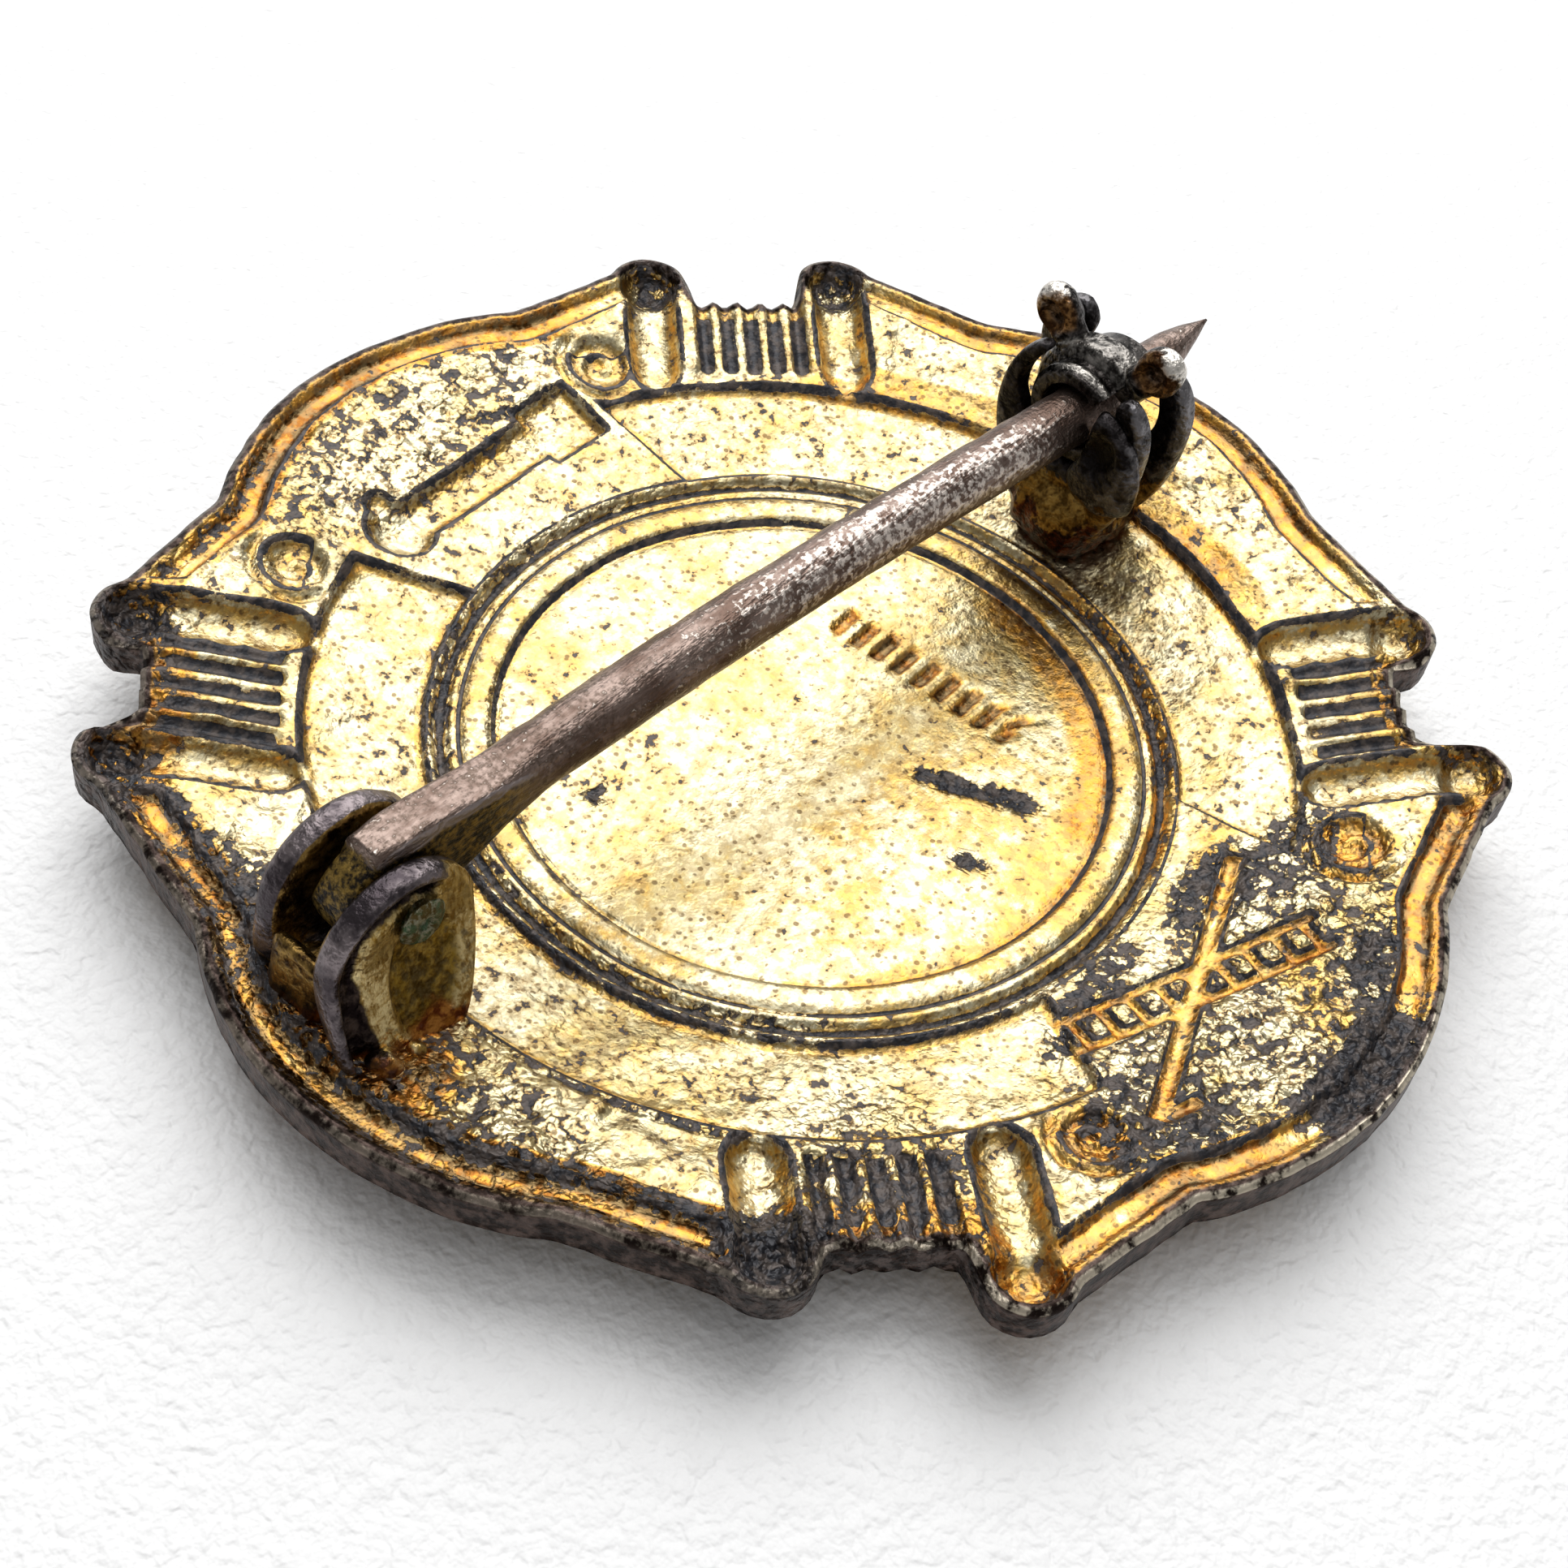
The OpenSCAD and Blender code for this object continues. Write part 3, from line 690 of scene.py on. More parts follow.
def swept(table, angle, reach, soft=0.12):
    """The strongest of a table's arcs at each point."""
    total = np.zeros(len(angle))
    for first, last, near, far, strength in table:
        half = (last - first) / 2
        inside = 1 - eased(off_way(angle, (first + last) / 2), half - 6, half + 4)
        across = eased(reach, near - soft, near) * (1 - eased(reach, far, far + soft))
        total = np.maximum(total, strength * inside * across)
    return total


from_centre, direction = np.hypot(px, py), np.degrees(np.arctan2(py, px))
on_punch, on_tools = punch_gap(px, py), tools_gap(px, py)
rim_near = np.where(from_centre > 10.3, depth, nowhere)
# the gutter inside the lip of each arm stays smooth, with few specks, but for the hinge's arm
on_arm = 1 - eased(np.abs(np.mod(direction + 45, 90) - 45), 25, 30)
hinge_arm = 1 - eased(off_way(direction, 183), 30, 40)
off_gutter = 1 - (0.85 - 0.6 * hinge_arm) * on_arm * (1 - eased(rim_near, 0.9, 1.1))
carry(mesh, tarnish=np.maximum.reduce([
    charted(tarnish_spots, px, py) * (0.25 + 0.75 * eased(on_tools, -0.02, 0.06)) * off_gutter,
    swept(ring_tarnish, direction, from_centre), swept(rim_tarnish, direction, rim_near, 0.06),
]))
carry(mesh, stain=np.maximum.reduce([
    charted(stain_spots, px, py), swept(ring_stains, direction, from_centre),
    swept(rim_stains, direction, rim_near), 0.95 * (1 - eased(on_punch, -0.02, 0.1)),
    (0.3 + 0.3 * eased(np.hypot(px, py + tools_reach), 1.5, 2.8)) * (1 - eased(on_tools, -0.06, 0.08)),
]))
few = 0.05 + 0.16 * eased(from_centre, 6.3, 7.5)
specked = np.maximum(charted(speck_spots, px, py), few)
carry(mesh, specks=specked * eased(on_tools, -0.05, 0.1) * off_gutter)
# bright wear along the very edge, most on the side towards 285 degrees
carry(mesh, wear=0.25 + 0.75 * (1 - eased(off_way(direction, 285), 40, 75)))


def worn_gilding(start, place):
    gap, depth, hollow = start.marks("gap", "inset", "hollow")
    tarnish, stain, specks, wear = start.marks("tarnish", "stain", "specks", "wear")
    cloud = place.noise(2.0, 2.0, 0.5)
    ragged = place.noise(0.5, 5.0, 0.72, 0.0, 6.0)
    lumps = place.noise(0.24, 2.0, 0.6, 0.0, 3.0)
    pebbles = place.bent(0.3, 0.5).cells(0.26)
    cream, pale, honey = (0.56, 0.445, 0.20), (0.74, 0.66, 0.43), (0.60, 0.385, 0.11)
    gold = (cloud * 0.5 + ragged * 0.5).rise(0.40, 0.60).mix(pale, cream)
    # lines along every step, and round the rings: distance from the centre and half width
    reach = place.stretched((1, 1, 0)).length()
    line = abs(gap - 0.05).rise(0.13, 0.03) * (0.45 + 0.55 * depth.rise(0.4, 0.6))
    for ring_r, half_w in ((6.37, 0.1), (7.07, 0.08), (7.44, 0.15), (7.74, 0.07)):
        line = line.most(abs(reach - ring_r).rise(half_w, half_w * 0.2))
    beside = abs(gap).rise(0.35, 0.05).most(abs(reach - 6.9).rise(0.9, 0.2))
    root = hollow.rise(0.004, 0.03)
    # honey, orange and brown where it has stained
    warm = stain * 0.95 + beside * 0.22 + root * 0.3 + (ragged - 0.5) * 1.8 + (cloud - 0.5) * 0.9
    colour = warm.rise(0.05, 0.45).mix(gold, honey)
    orange, brown, umber = (0.60, 0.29, 0.05), (0.26, 0.10, 0.02), (0.045, 0.020, 0.005)
    for low, high, stain_colour in ((0.45, 0.8, orange), (0.8, 1.1, brown), (1.1, 1.4, umber)):
        colour = warm.rise(low, high).mix(colour, stain_colour)
    # fine brown grain over all of it
    grain = (lumps * 0.4 + ragged * 0.3 + pebbles * 0.3).rise(0.43, 0.58)
    colour = (grain * (specks * 0.5 + 0.5)).mix(colour, (0.34, 0.24, 0.11))
    # fine brown dots, most where the specks are
    dots = place.cells(0.2).rise(0.36, 0.22) * (lumps + specks * 0.3).rise(0.46, 0.58)
    colour = (dots * 0.8).mix(colour, (0.13, 0.08, 0.035))
    # black in the lines and in the charted patches, and as specks between the pebbles of the fields
    drift = (ragged - 0.5) * 1.6 + (lumps - 0.5) * 1.0
    cover = specks.most(tarnish)
    spotted = pebbles * 0.7 + drift + cover * 0.69 - 0.86
    creeping = tarnish * 0.5 + (ragged - 0.5) * 2.0 + (lumps - 0.5) * 0.6 - 0.58
    lined = line * (cloud * 1.3 + 0.12) + (ragged - 0.5) * 1.4 + root * 0.1 - 0.56
    shade = spotted.most(creeping).most(lined)
    black = shade.rise(-0.01, 0.04)
    colour = (shade.rise(-0.12, -0.01) * 0.7).mix(colour, (0.24, 0.14, 0.05))
    dark = lumps.rise(0.4, 0.62).mix((0.022, 0.022, 0.027), (0.085, 0.068, 0.060))
    colour = black.mix(colour, dark)
    # the lip, where the gilding has gone, and the trimmed edge: dark bare silver, darkened further as painted
    # shade where the lip curls away and on the wall of the trimmed edge
    lip = (depth + (ragged - 0.5) * 0.3).rise(0.27, 0.20)
    silver = (lumps * 0.5 + ragged * 0.5).rise(0.42, 0.62)
    colour = lip.mix(colour, silver.mix((0.018, 0.012, 0.010), (0.115, 0.082, 0.070)))
    worn = depth.band(0.05, 0.08, 0.05) * wear * (ragged * 0.6 + lumps * 0.4).rise(0.42, 0.54)
    colour = (worn * 0.8).mix(colour, (0.72, 0.64, 0.50))
    bump = lumps * 0.5 + ragged * 0.5 - pebbles * (specks + tarnish) * 1.3 - black * 0.15
    return {
        "Base Color": colour,
        "Metallic": 1 - black * 0.6,
        "Roughness": black.most(lip) * 0.12 + lumps * 0.2 + 0.22,
        "Bump": (bump, 0.06),
    }


mesh.materials.append(finish_of("worn_gilding", worn_gilding))
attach(struck_cross, "badge")
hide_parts("struck_badge")


# ---- Hinge bracket ---------------------------------------------------------------------------
# Two ears on one foot, bent up from silver strip and soldered to the back, a little askew. Each
# ear is round behind and straight towards the catch. The near one splays out at its foot, where
# orange solder has run, and its face is hollowed inside a thick grey lip.
fastening_turn, fastening_shift = -5.5, 0.77
rivet_reach, rivet_z = 10.6, 4.1
ear_back, ear_z, ear_r, ear_tall, ear_t, ear_slot = 0.3, 3.56, 1.66, 2.9, 0.58, 1.28
ear_front, ear_low = 1.34, 1.15
ears_half = ear_slot / 2 + ear_t
# the height where an ear starts to splay out, and its height down from there
splay_top, splay_tall = 3.9, 2.3
# the shallow oval on the near ear's face: middle, half length and half height
oval_z, oval_half, oval_tall = 2.95, 0.85, 1.15


def fastened(along, across, up):
    """World places in mm of points given along the pin, across it and upwards."""
    x, y = turned(along, across + fastening_shift, fastening_turn)
    return np.stack(np.broadcast_arrays(x, y, up), -1)


def skinned(name, rings):
    """A closed solid skinned over a row of rings with equally many points each."""
    rings = np.asarray(rings, dtype=float)
    count, size = rings.shape[:2]
    verts = np.vstack([rings.reshape(-1, 3), rings[0].mean(0), rings[-1].mean(0)])
    first_hub, last_hub = count * size, count * size + 1
    skin = []
    for j in range(size):
        k = (j + 1) % size
        starts = range(0, (count - 1) * size, size)
        skin += [(i + j, i + k, i + size + k, i + size + j) for i in starts]
        skin += [(first_hub, k, j), (last_hub, starts.stop + j, starts.stop + k)]
    # the faces have to look outwards, whichever way the rings run
    facing = np.cross(rings, np.roll(rings, -1, axis=1)).sum(axis=1)
    if (np.diff(rings.mean(axis=1), axis=0) * (facing[1:] + facing[:-1])).sum() < 0:
        skin = turned_over(skin)
    mesh = bpy.data.meshes.new(name)
    mesh.from_pydata((verts * MM).tolist(), [], skin)
    mesh.shade_smooth()
    return mesh


def round_steps(count):
    """Angles once round, with their cosines and sines."""
    turn = np.linspace(0, full_turn, count, endpoint=False)
    return turn, np.cos(turn), np.sin(turn)


def welded(name, meshes):
    """One object from several closed meshes."""
    parts = []
    for part in meshes:
        thing = bpy.data.objects.new(name, part)
        scene.collection.objects.link(thing)
        parts.append(thing)
    if len(parts) > 1:
        with bpy.context.temp_override(active_object=parts[0], selected_editable_objects=parts):
            bpy.ops.object.join()
    return parts[0]


def splayed(up):
    """How far an ear has splayed at a height, from 0 at the top to 1."""
    return eased(splay_top - up, 0, splay_tall)


def round_back(way):
    """1 along the ears' round back, 0 along their straight front and foot."""
    return eased(np.cos(way - math.radians(150)), -0.35, 0.1)


def ear(side, shift=0.0):
    """Rings from the middle of the outer face, out over its lip and edge, and in over the inner face."""
    turn, c, s = round_steps(120)
    front = np.where(c > 0, (ear_front + ear_back) / np.maximum(c, 1e-6), nowhere)
    low = np.where(s < 0, (ear_z - ear_low) / np.maximum(-s, 1e-6), nowhere)
    # below the middle the round back runs on down as an oval
    below, above = np.minimum(s, 0) / ear_tall, np.maximum(s, 0) / ear_r
    oval = 1 / np.sqrt((c / ear_r) ** 2 + below ** 2 + above ** 2)
    reach = np.minimum.reduce([oval, np.where(s < 0.45, front, nowhere), low])
    soft = np.array([1, 2, 3, 4, 3, 2, 1]) / 16
    reach = np.convolve(np.concatenate([reach[-3:], reach, reach[:3]]), soft, "valid")
    behind = round_back(turn)
    near = 1.0 if side < 0 else 0.3  # the far ear splays less
    rings = []

    def add(cut, across, flare):
        """A ring at a distance in from the edge and across the pin, splayed by a share."""
        r = np.maximum(reach - cut, 0.05)
        a, z = -ear_back + r * c, ear_z + r * s
        spread = splayed(z) * flare * near
        rings.append(fastened(-rivet_reach + shift + a - 0.5 * spread, side * (across + 0.9 * spread), z))

    for share in np.linspace(0.04, 1, 26):
        cut = reach * (1 - share)
        a, z = -ear_back + (reach - cut) * c, ear_z + (reach - cut) * s
        lip = behind * (1 - eased(cut, 0.14, 0.26))
        crescent = behind * eased(cut, 0.18, 0.3) * (1 - eased(cut, 0.5, 0.85))
        dish = 1 - eased(np.hypot((a - 0.12) / oval_half, (z - oval_z) / oval_tall), 0.8, 1.0)
        drop = 0.1 * (1 - lip) + 0.2 * crescent + 0.13 * dish * (1 - crescent) * (1 - lip)
        bevel = 0.1 * (1 - eased(cut, 0.0, 0.1))
        add(cut, ears_half - drop - bevel, 1.0)
    # over the edge and in over the inner face: distance in from the edge, across, share of splay
    inner = ear_slot / 2
    for cut, across, flare in (
        (-0.03, ears_half - 0.2, 0.95), (-0.03, ears_half - 0.32, 0.8), (-0.02, inner + 0.12, 0.3),
        (0.02, inner + 0.04, 0.1), (0.1, inner, 0), (0.8, inner, 0), (1.5, inner, 0),
    ):
        add(cut, across, flare)
    return skinned("ear", rings)


def block(name, along, across, up, sides, lumps=0.05):
    """A lumpy, rounded oblong. Each row of sides is a share of the height and how far it stands out."""
    _, c, s = round_steps(72)
    square = np.minimum(1 / np.maximum(np.abs(c), np.abs(s)), 1.16)
    rings = []
    for share, out in sides:
        z = up[0] + (up[1] - up[0]) * share
        a, b = (
            sum(ends) / 2 + way * square * max((ends[1] - ends[0]) / 2 + out, 0.02)
            for ends, way in ((along, c), (across, s))
        )
        lump = lumps * uneven(a * 3 + share * 5, b * 3 + z, 0.9, 21)
        rings.append(fastened(a + lump * c, b + lump * s, z + lump * 0.4))
    return skinned(name, rings)


foot_sides = [(0, 0.25), (0.2, 0.2), (0.4, 0.06), (0.6, 0), (0.85, 0), (0.96, -0.08), (1, -0.3)]
hinge_foot = block(
    "foot", (-rivet_reach - 1.75, -rivet_reach + 0.8), (-ears_half + 0.1, ears_half - 0.1), (0.9, 2.62),
    foot_sides,
)
# the bend of the strip comes up between the ears, behind the knuckle
bend_sides = [(0, 0.1), (0.3, 0.05), (0.6, 0), (0.85, -0.02), (0.95, -0.08), (1, -0.16)]
bend_half = ear_slot / 2 + 0.02
hinge_bend = block(
    "bend", (-rivet_reach - 1.88, -rivet_reach - 1.5), (-bend_half, bend_half), (2.2, 3.5), bend_sides, 0.06,
)
# blobs of solder that have run out at the near ear's foot: place, half width and top
solder_sides = [(0, 0), (0.6, 0), (0.9, -0.1), (1, -0.25)]
solder_blobs = [
    block("solder", (a - r, a + r), (b - r, b + r), (1.2, top), solder_sides, 0.12)
    for a, b, r, top in ((-12.1, -2.15, 0.36, 2.42), (-12.35, -2.6, 0.22, 2.42), (-11.5, -2.1, 0.25, 2.2))
]
hinge_bracket = welded("hinge_bracket", [ear(-1), ear(1, 0.2), hinge_foot, hinge_bend, *solder_blobs])
mesh = hinge_bracket.data


def fastening_places(mesh):
    """Places of a mesh's points along the pin, across it and upwards, in mm."""
    places = np.empty(len(mesh.vertices) * 3)
    mesh.vertices.foreach_get("co", places)
    places = places.reshape(-1, 3) / MM
    along, across = turned(places[:, 0], places[:, 1], -fastening_turn)
    return along, across - fastening_shift, places[:, 2]


along, across, up = fastening_places(mesh)
spread = splayed(up)
back = along + rivet_reach + ear_back + 0.5 * spread
above = up - ear_z
cut = ear_r - np.hypot(back, above * np.where(above < 0, ear_r / ear_tall, 1))
behind = round_back(np.arctan2(above, back))
face = eased(-across - 0.9 * spread, ears_half - 0.45, ears_half - 0.3)
lip = np.where(face > 0.5, behind * (1 - eased(cut, 0.2, 0.34)), eased(up, 2.0, 2.6))
on_oval = 1 - eased(np.hypot((back - 0.42) / oval_half, (up - oval_z) / oval_tall), 0.85, 1.0)
crescent = face * behind * eased(cut, 0.2, 0.3) * (1 - eased(cut, 0.5, 0.8))
in_slot = 1 - eased(np.abs(across), ear_slot / 2 + 0.02, ear_slot / 2 + 0.14)
carry(mesh, lip=lip, crescent=crescent, oval=face * on_oval, height=up, slot=in_slot)


def bracket_silver(start, place):
    lip, crescent, oval, height, slot = start.marks("lip", "crescent", "oval", "height", "slot")
    cloud = place.noise(0.8, 3.0, 0.6)
    grit = place.noise(0.2, 2.0, 0.6, 0.0, 4.0)
    scratch = place.stretched((1.0, 1.0, 0.3)).noise(0.16, 3.0, 0.7, 0.0, 7.0)
    # pale scratched gilding low on the face, olive gold in the hollow round the rivet
    pale = scratch.rise(0.36, 0.6).mix((0.36, 0.22, 0.06), (0.90, 0.72, 0.36))
    olive = (cloud * 0.5 + grit * 0.5).rise(0.4, 0.62).mix((0.055, 0.030, 0.004), (0.36, 0.22, 0.03))
    colour = (oval * 0.92).most((height + (cloud - 0.5) * 2.0).rise(3.0, 3.8) * 0.5).mix(pale, olive)
    mauve = (cloud * 0.7 + grit * 0.3).rise(0.4, 0.6).mix((0.055, 0.045, 0.05), (0.23, 0.195, 0.20))
    colour = (lip + (grit - 0.5) * 0.8).rise(0.35, 0.6).mix(colour, mauve)
    umber = grit.rise(0.4, 0.7).mix((0.012, 0.008, 0.008), (0.075, 0.052, 0.042))
    colour = (crescent + (grit - 0.5) * 0.7 + (cloud - 0.5)).rise(0.25, 0.6).mix(colour, umber)
    crust = (slot.most(height.rise(2.5, 2.0) * lip) + (cloud - 0.5) * 1.5).rise(0.5, 0.7)
    brown = (cloud * 0.5 + grit * 0.5).rise(0.38, 0.62).mix((0.03, 0.016, 0.008), (0.34, 0.21, 0.06))
    colour = crust.mix(colour, brown)
    solder = (height + (cloud - 0.5) * 1.2).rise(2.35, 2.05)
    colour = solder.mix(colour, grit.rise(0.4, 0.6).mix((0.42, 0.17, 0.035), (0.16, 0.04, 0.012)))
    black = (grit * 0.5 + cloud * 0.5).rise(0.58, 0.66) * 0.6
    return {
        "Base Color": black.mix(colour, (0.03, 0.022, 0.018)),
        "Metallic": 1 - black * 0.5,
        "Roughness": grit * 0.25 + 0.24,
        "Bump": (grit + cloud + scratch * 0.5, 0.05),
    }


mesh.materials.append(finish_of("bracket_silver", bracket_silver))
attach(hinge_bracket, "badge")
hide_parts("struck_badge")


# ---- Catch housing ---------------------------------------------------------------------------
# Two round cheeks on one base, cast in silver and soldered down. Each cheek is open at the top,
# so that the pin can drop in, and bored for the rotor. It is black above and rough gold below.
catch_reach, cheek_r, cheek_tall, cheek_t, cheek_gap, cheek_low = 8.2, 1.96, 3.5, 0.5, 1.0, 1.1
mouth_w, mouth_shift, rotor_hole, horn_share = 1.6, 0.1, 1.21, 0.1
axis_z = 4.65
catch_w = 2 * cheek_t + cheek_gap


def squarer(wave, power):
    """Cosines or sines bent so that what they draw is less round."""
    return np.sign(wave) * np.abs(wave) ** power


def cheek(middle, thin, arm):
    """A rounded section swept round the bore, from the horn on the far side to the one on the near side."""
    half_mouth, lean, steps = math.asin(mouth_w / 2 / rotor_hole), mouth_shift / 1.3, 120
    ways = np.linspace(math.pi / 2 - half_mouth + lean, half_mouth - 1.5 * math.pi + lean, steps)
    _, ct, st = round_steps(32)
    rings = []
    for i, way in enumerate(ways):
        c, s, along = math.cos(way), math.sin(way), i / (steps - 1)
        # round above and an oval below, cut off flat at the foot, with the far side's arm thinned
        outer = 1 / math.hypot(c / cheek_r, min(s, 0) / cheek_tall, max(s, 0) / cheek_r)
        outer = min(outer, (axis_z - cheek_low) / max(-s, 1e-6)) + arm * eased(along, 0.3, 0.1)
        inner = rotor_hole + thin * eased(along, 0.34, 0.2)
        from_horn = min(along / horn_share, (1 - along) / horn_share, 1)
        horn = math.sqrt(1 - (1 - from_horn) ** 2)
        r = (inner + outer) / 2 + (outer - inner) / 2 * (0.25 + 0.75 * horn) * squarer(ct, 0.6)
        depth = cheek_t / 2 * (0.5 + 0.5 * horn) * squarer(st, 0.55)
        rings.append(fastened(middle + depth, r * c, axis_z + r * s))
    return skinned("cheek", rings)


base_sides = [(0, -0.1), (0.15, 0.06), (0.4, 0.16), (0.65, 0.12), (0.85, 0), (0.95, -0.12), (1, -0.4)]
base_ends = (catch_reach - 0.12, catch_reach + catch_w + 0.05)
catch_base = block("base", base_ends, (-1.15, 0.85), (1.1, axis_z - 1.56), base_sides, 0.16)
# outline of the broad lobe in front of the near side, across the pin and upwards, and its dimple
lobe_outline = np.array([
    (-0.8, 5.45), (-0.68, 4.7), (-0.62, 4.1), (-0.35, 3.5), (-0.6, 3.0), (-1.4, 2.85), (-2.1, 3.3),
    (-2.15, 4.2), (-1.85, 5.0), (-1.25, 5.4),
])
dimple_across, dimple_up, dimple_deep = -1.15, 4.55, 0.24
# share of the way from the lobe's hub to its outline, and how far in front of the cheek
lobe_rows = [
    (0.05, 0.34), (0.2, 0.34), (0.35, 0.34), (0.5, 0.33), (0.65, 0.32), (0.8, 0.29), (0.92, 0.2), (1, 0.04),
    (1, -0.04), (0.7, -0.04),
]


def lobe():
    """A thin lobe skinned from its hub out over a rounded edge, with a hollow in its face."""
    steps = np.linspace(0, len(lobe_outline), 72, endpoint=False)
    knots = np.arange(-2, len(lobe_outline) + 3)
    smooth = [np.interp(steps, knots, np.take(column, knots, mode="wrap")) for column in lobe_outline.T]
    soft_edge = np.array([0, 2, 3, 4, 3, 2, 0]) / 14
    smooth = [np.convolve(np.concatenate([s[-3:], s, s[:3]]), soft_edge, "valid") for s in smooth]
    hub = np.mean(smooth, axis=1)
    rings = []
    for share, forward in lobe_rows:
        b, z = hub[0] + (smooth[0] - hub[0]) * share, hub[1] + (smooth[1] - hub[1]) * share
        off_dimple = np.hypot((b - dimple_across) / 0.55, (z - dimple_up) / 0.65)
        hollow = dimple_deep * (1 - eased(off_dimple, 0.3, 1.0)) * (forward > 0)
        rings.append(fastened(catch_reach - forward + hollow, b, z))
    return skinned("lobe", rings)


near_cheek = cheek(catch_reach + cheek_t / 2, 0.2, -0.2)
far_cheek = cheek(catch_reach + catch_w - cheek_t / 2, 0, 0.3)
catch_housing = welded("catch_housing", [near_cheek, far_cheek, lobe(), catch_base])
mesh = catch_housing.data
along, across, up = fastening_places(mesh)
from_axis = np.hypot(across, up - axis_z)
rim = eased(from_axis, cheek_r - 0.42, cheek_r - 0.1) * eased(up, 2.6, 3.4)
# where the bore round the rotor and the dimple in the lobe's face lie, to be painted near black as shade
bore = 1 - eased(from_axis, rotor_hole + 0.06, rotor_hole + 0.2)
dimple = 1 - eased(np.hypot((across - dimple_across) / 0.5, (up - dimple_up) / 0.6), 0.6, 1.0)
in_front = 1 - eased(along, catch_reach - 0.05, catch_reach + 0.05)
carry(
    mesh, height=up, rim=rim, bore=bore * eased(along, catch_reach - 0.1, catch_reach),
    dimple=dimple * in_front,
)


def blackened_silver(start, place):
    height, rim, bore, dimple = start.marks("height", "rim", "bore", "dimple")
    cloud = place.noise(0.7, 3.0, 0.6)
    grit = place.noise(0.2, 2.0, 0.6, 0.0, 4.0)
    black = (grit * 0.5 + cloud * 0.5).rise(0.42, 0.64).mix((0.010, 0.008, 0.008), (0.065, 0.058, 0.060))
    worn = (rim * 0.8 + (cloud - 0.5) * 1.6 + (grit - 0.5) * 0.6).rise(0.5, 1.0)
    colour = (worn * 0.7).mix(black, (0.27, 0.26, 0.27))
    gold = (cloud * 0.4 + grit * 0.6).rise(0.4, 0.62).mix((0.09, 0.045, 0.006), (0.42, 0.25, 0.06))
    low = (height + (cloud - 0.5) * 1.8 + (grit - 0.5) * 0.6).rise(3.15, 3.02) * (1 - bore)
    colour = low.mix(colour, gold)
    rust = (height + (cloud - 0.5) * 2.4 + (grit - 0.5)).rise(2.35, 2.0)
    colour = rust.mix(colour, grit.rise(0.4, 0.62).mix((0.020, 0.006, 0.004), (0.12, 0.030, 0.008)))
    # painted shade: the bore and the dimple are painted near black
    return {
        "Base Color": (bore.most(dimple) * 0.85).mix(colour, (0.008, 0.006, 0.006)),
        "Metallic": 0.9,
        "Roughness": grit * 0.3 + 0.22,
        "Bump": (grit + cloud * 1.5, 0.07),
    }


mesh.materials.append(finish_of("blackened_silver", blackened_silver))
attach(catch_housing, "badge")
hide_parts("struck_badge")


# ---- Rivet -----------------------------------------------------------------------------------
# A short nickel-silver rivet through both ears, peened over at each end, with a small pit in the
# middle. Sweat and polish have left green and brown crust on its heads.
rivet_r, head_r, head_t = 0.36, 0.5, 0.14
shank_half = ears_half + 0.02


def crusted_rivet(start, place):
    cloud = place.noise(0.35, 3.0, 0.6)
    grit = place.noise(0.12, 2.0, 0.7)
    green = cloud.rise(0.4, 0.6).mix((0.09, 0.06, 0.012), (0.07, 0.12, 0.06))
    return {
        "Base Color": grit.rise(0.45, 0.65).mix(green, (0.26, 0.25, 0.17)),
        "Metallic": 0.7,
        "Roughness": grit * 0.3 + 0.36,
        "Bump": (grit + cloud, 0.06),
    }


_, ct, st = round_steps(40)
# height over the ear's face, from the pit in a head to the shank, and radius
head_rows = [(-0.02, 0.03), (-0.01, 0.1), (0.1, 0.16), (head_t, 0.24), (head_t - 0.02, 0.38)]
head_rows += [(head_t - 0.08, head_r - 0.03), (0.01, head_r), (0, head_r - 0.04), (0, rivet_r)]
rivet_rings = []
for side, rows in ((1, head_rows), (-1, head_rows[::-1])):
    for over, r in rows:
        r = r * (1 + 0.06 * uneven(ct * 2 + over, st * 2, 0.7, 31))
        rivet_rings.append(fastened(-rivet_reach + r * ct, side * (shank_half + over), rivet_z + r * st))
rivet = welded("peened_rivet", [skinned("peened_rivet", rivet_rings)])
rivet.data.materials.append(finish_of("crusted_rivet", crusted_rivet))
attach(rivet, "badge")
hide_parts("hinge_rivet")


# ---- Pin -------------------------------------------------------------------------------------
# Drawn nickel-silver wire, flattened and bored at the hinge, filed to a point at the other end.
# It has turned mauve-brown and grey, with worn flecks, and a painted highlight lies on the upper side of its
# middle that faces the camera.
pin_r, tongue_top, knuckle_r = 0.62, 5.42, 1.12
tongue_half, tongue_off = 0.47, -0.1
wire_arch, tip_bend = 0.22, 0.4
# distances from the rivet with what the pin's form is there: top and underside of the tongue, and
# half thickness of the wire towards its point
tongue_tops = np.array([(0, tongue_top), (0.9, tongue_top), (2.6, 5.25), (3.6, axis_z + pin_r)])
tongue_lows = np.array([
    (0, rivet_z - knuckle_r), (0.7, rivet_z - 0.9), (1.3, 3.5), (2.6, 4.02), (3.6, axis_z - pin_r),
])
wire_taper = np.array([(18.6, pin_r), (21.2, 0.57), (22.2, 0.44), (23.0, 0.22), (23.4, 0.08), (23.56, 0.03)])
pin_stations = np.concatenate([
    np.linspace(-knuckle_r + 0.01, -0.5, 12), np.linspace(-0.46, -0.3, 5), np.linspace(-0.2, 3.8, 44),
    np.linspace(4.0, 18.6, 74), np.linspace(18.8, 23.55, 32),
])


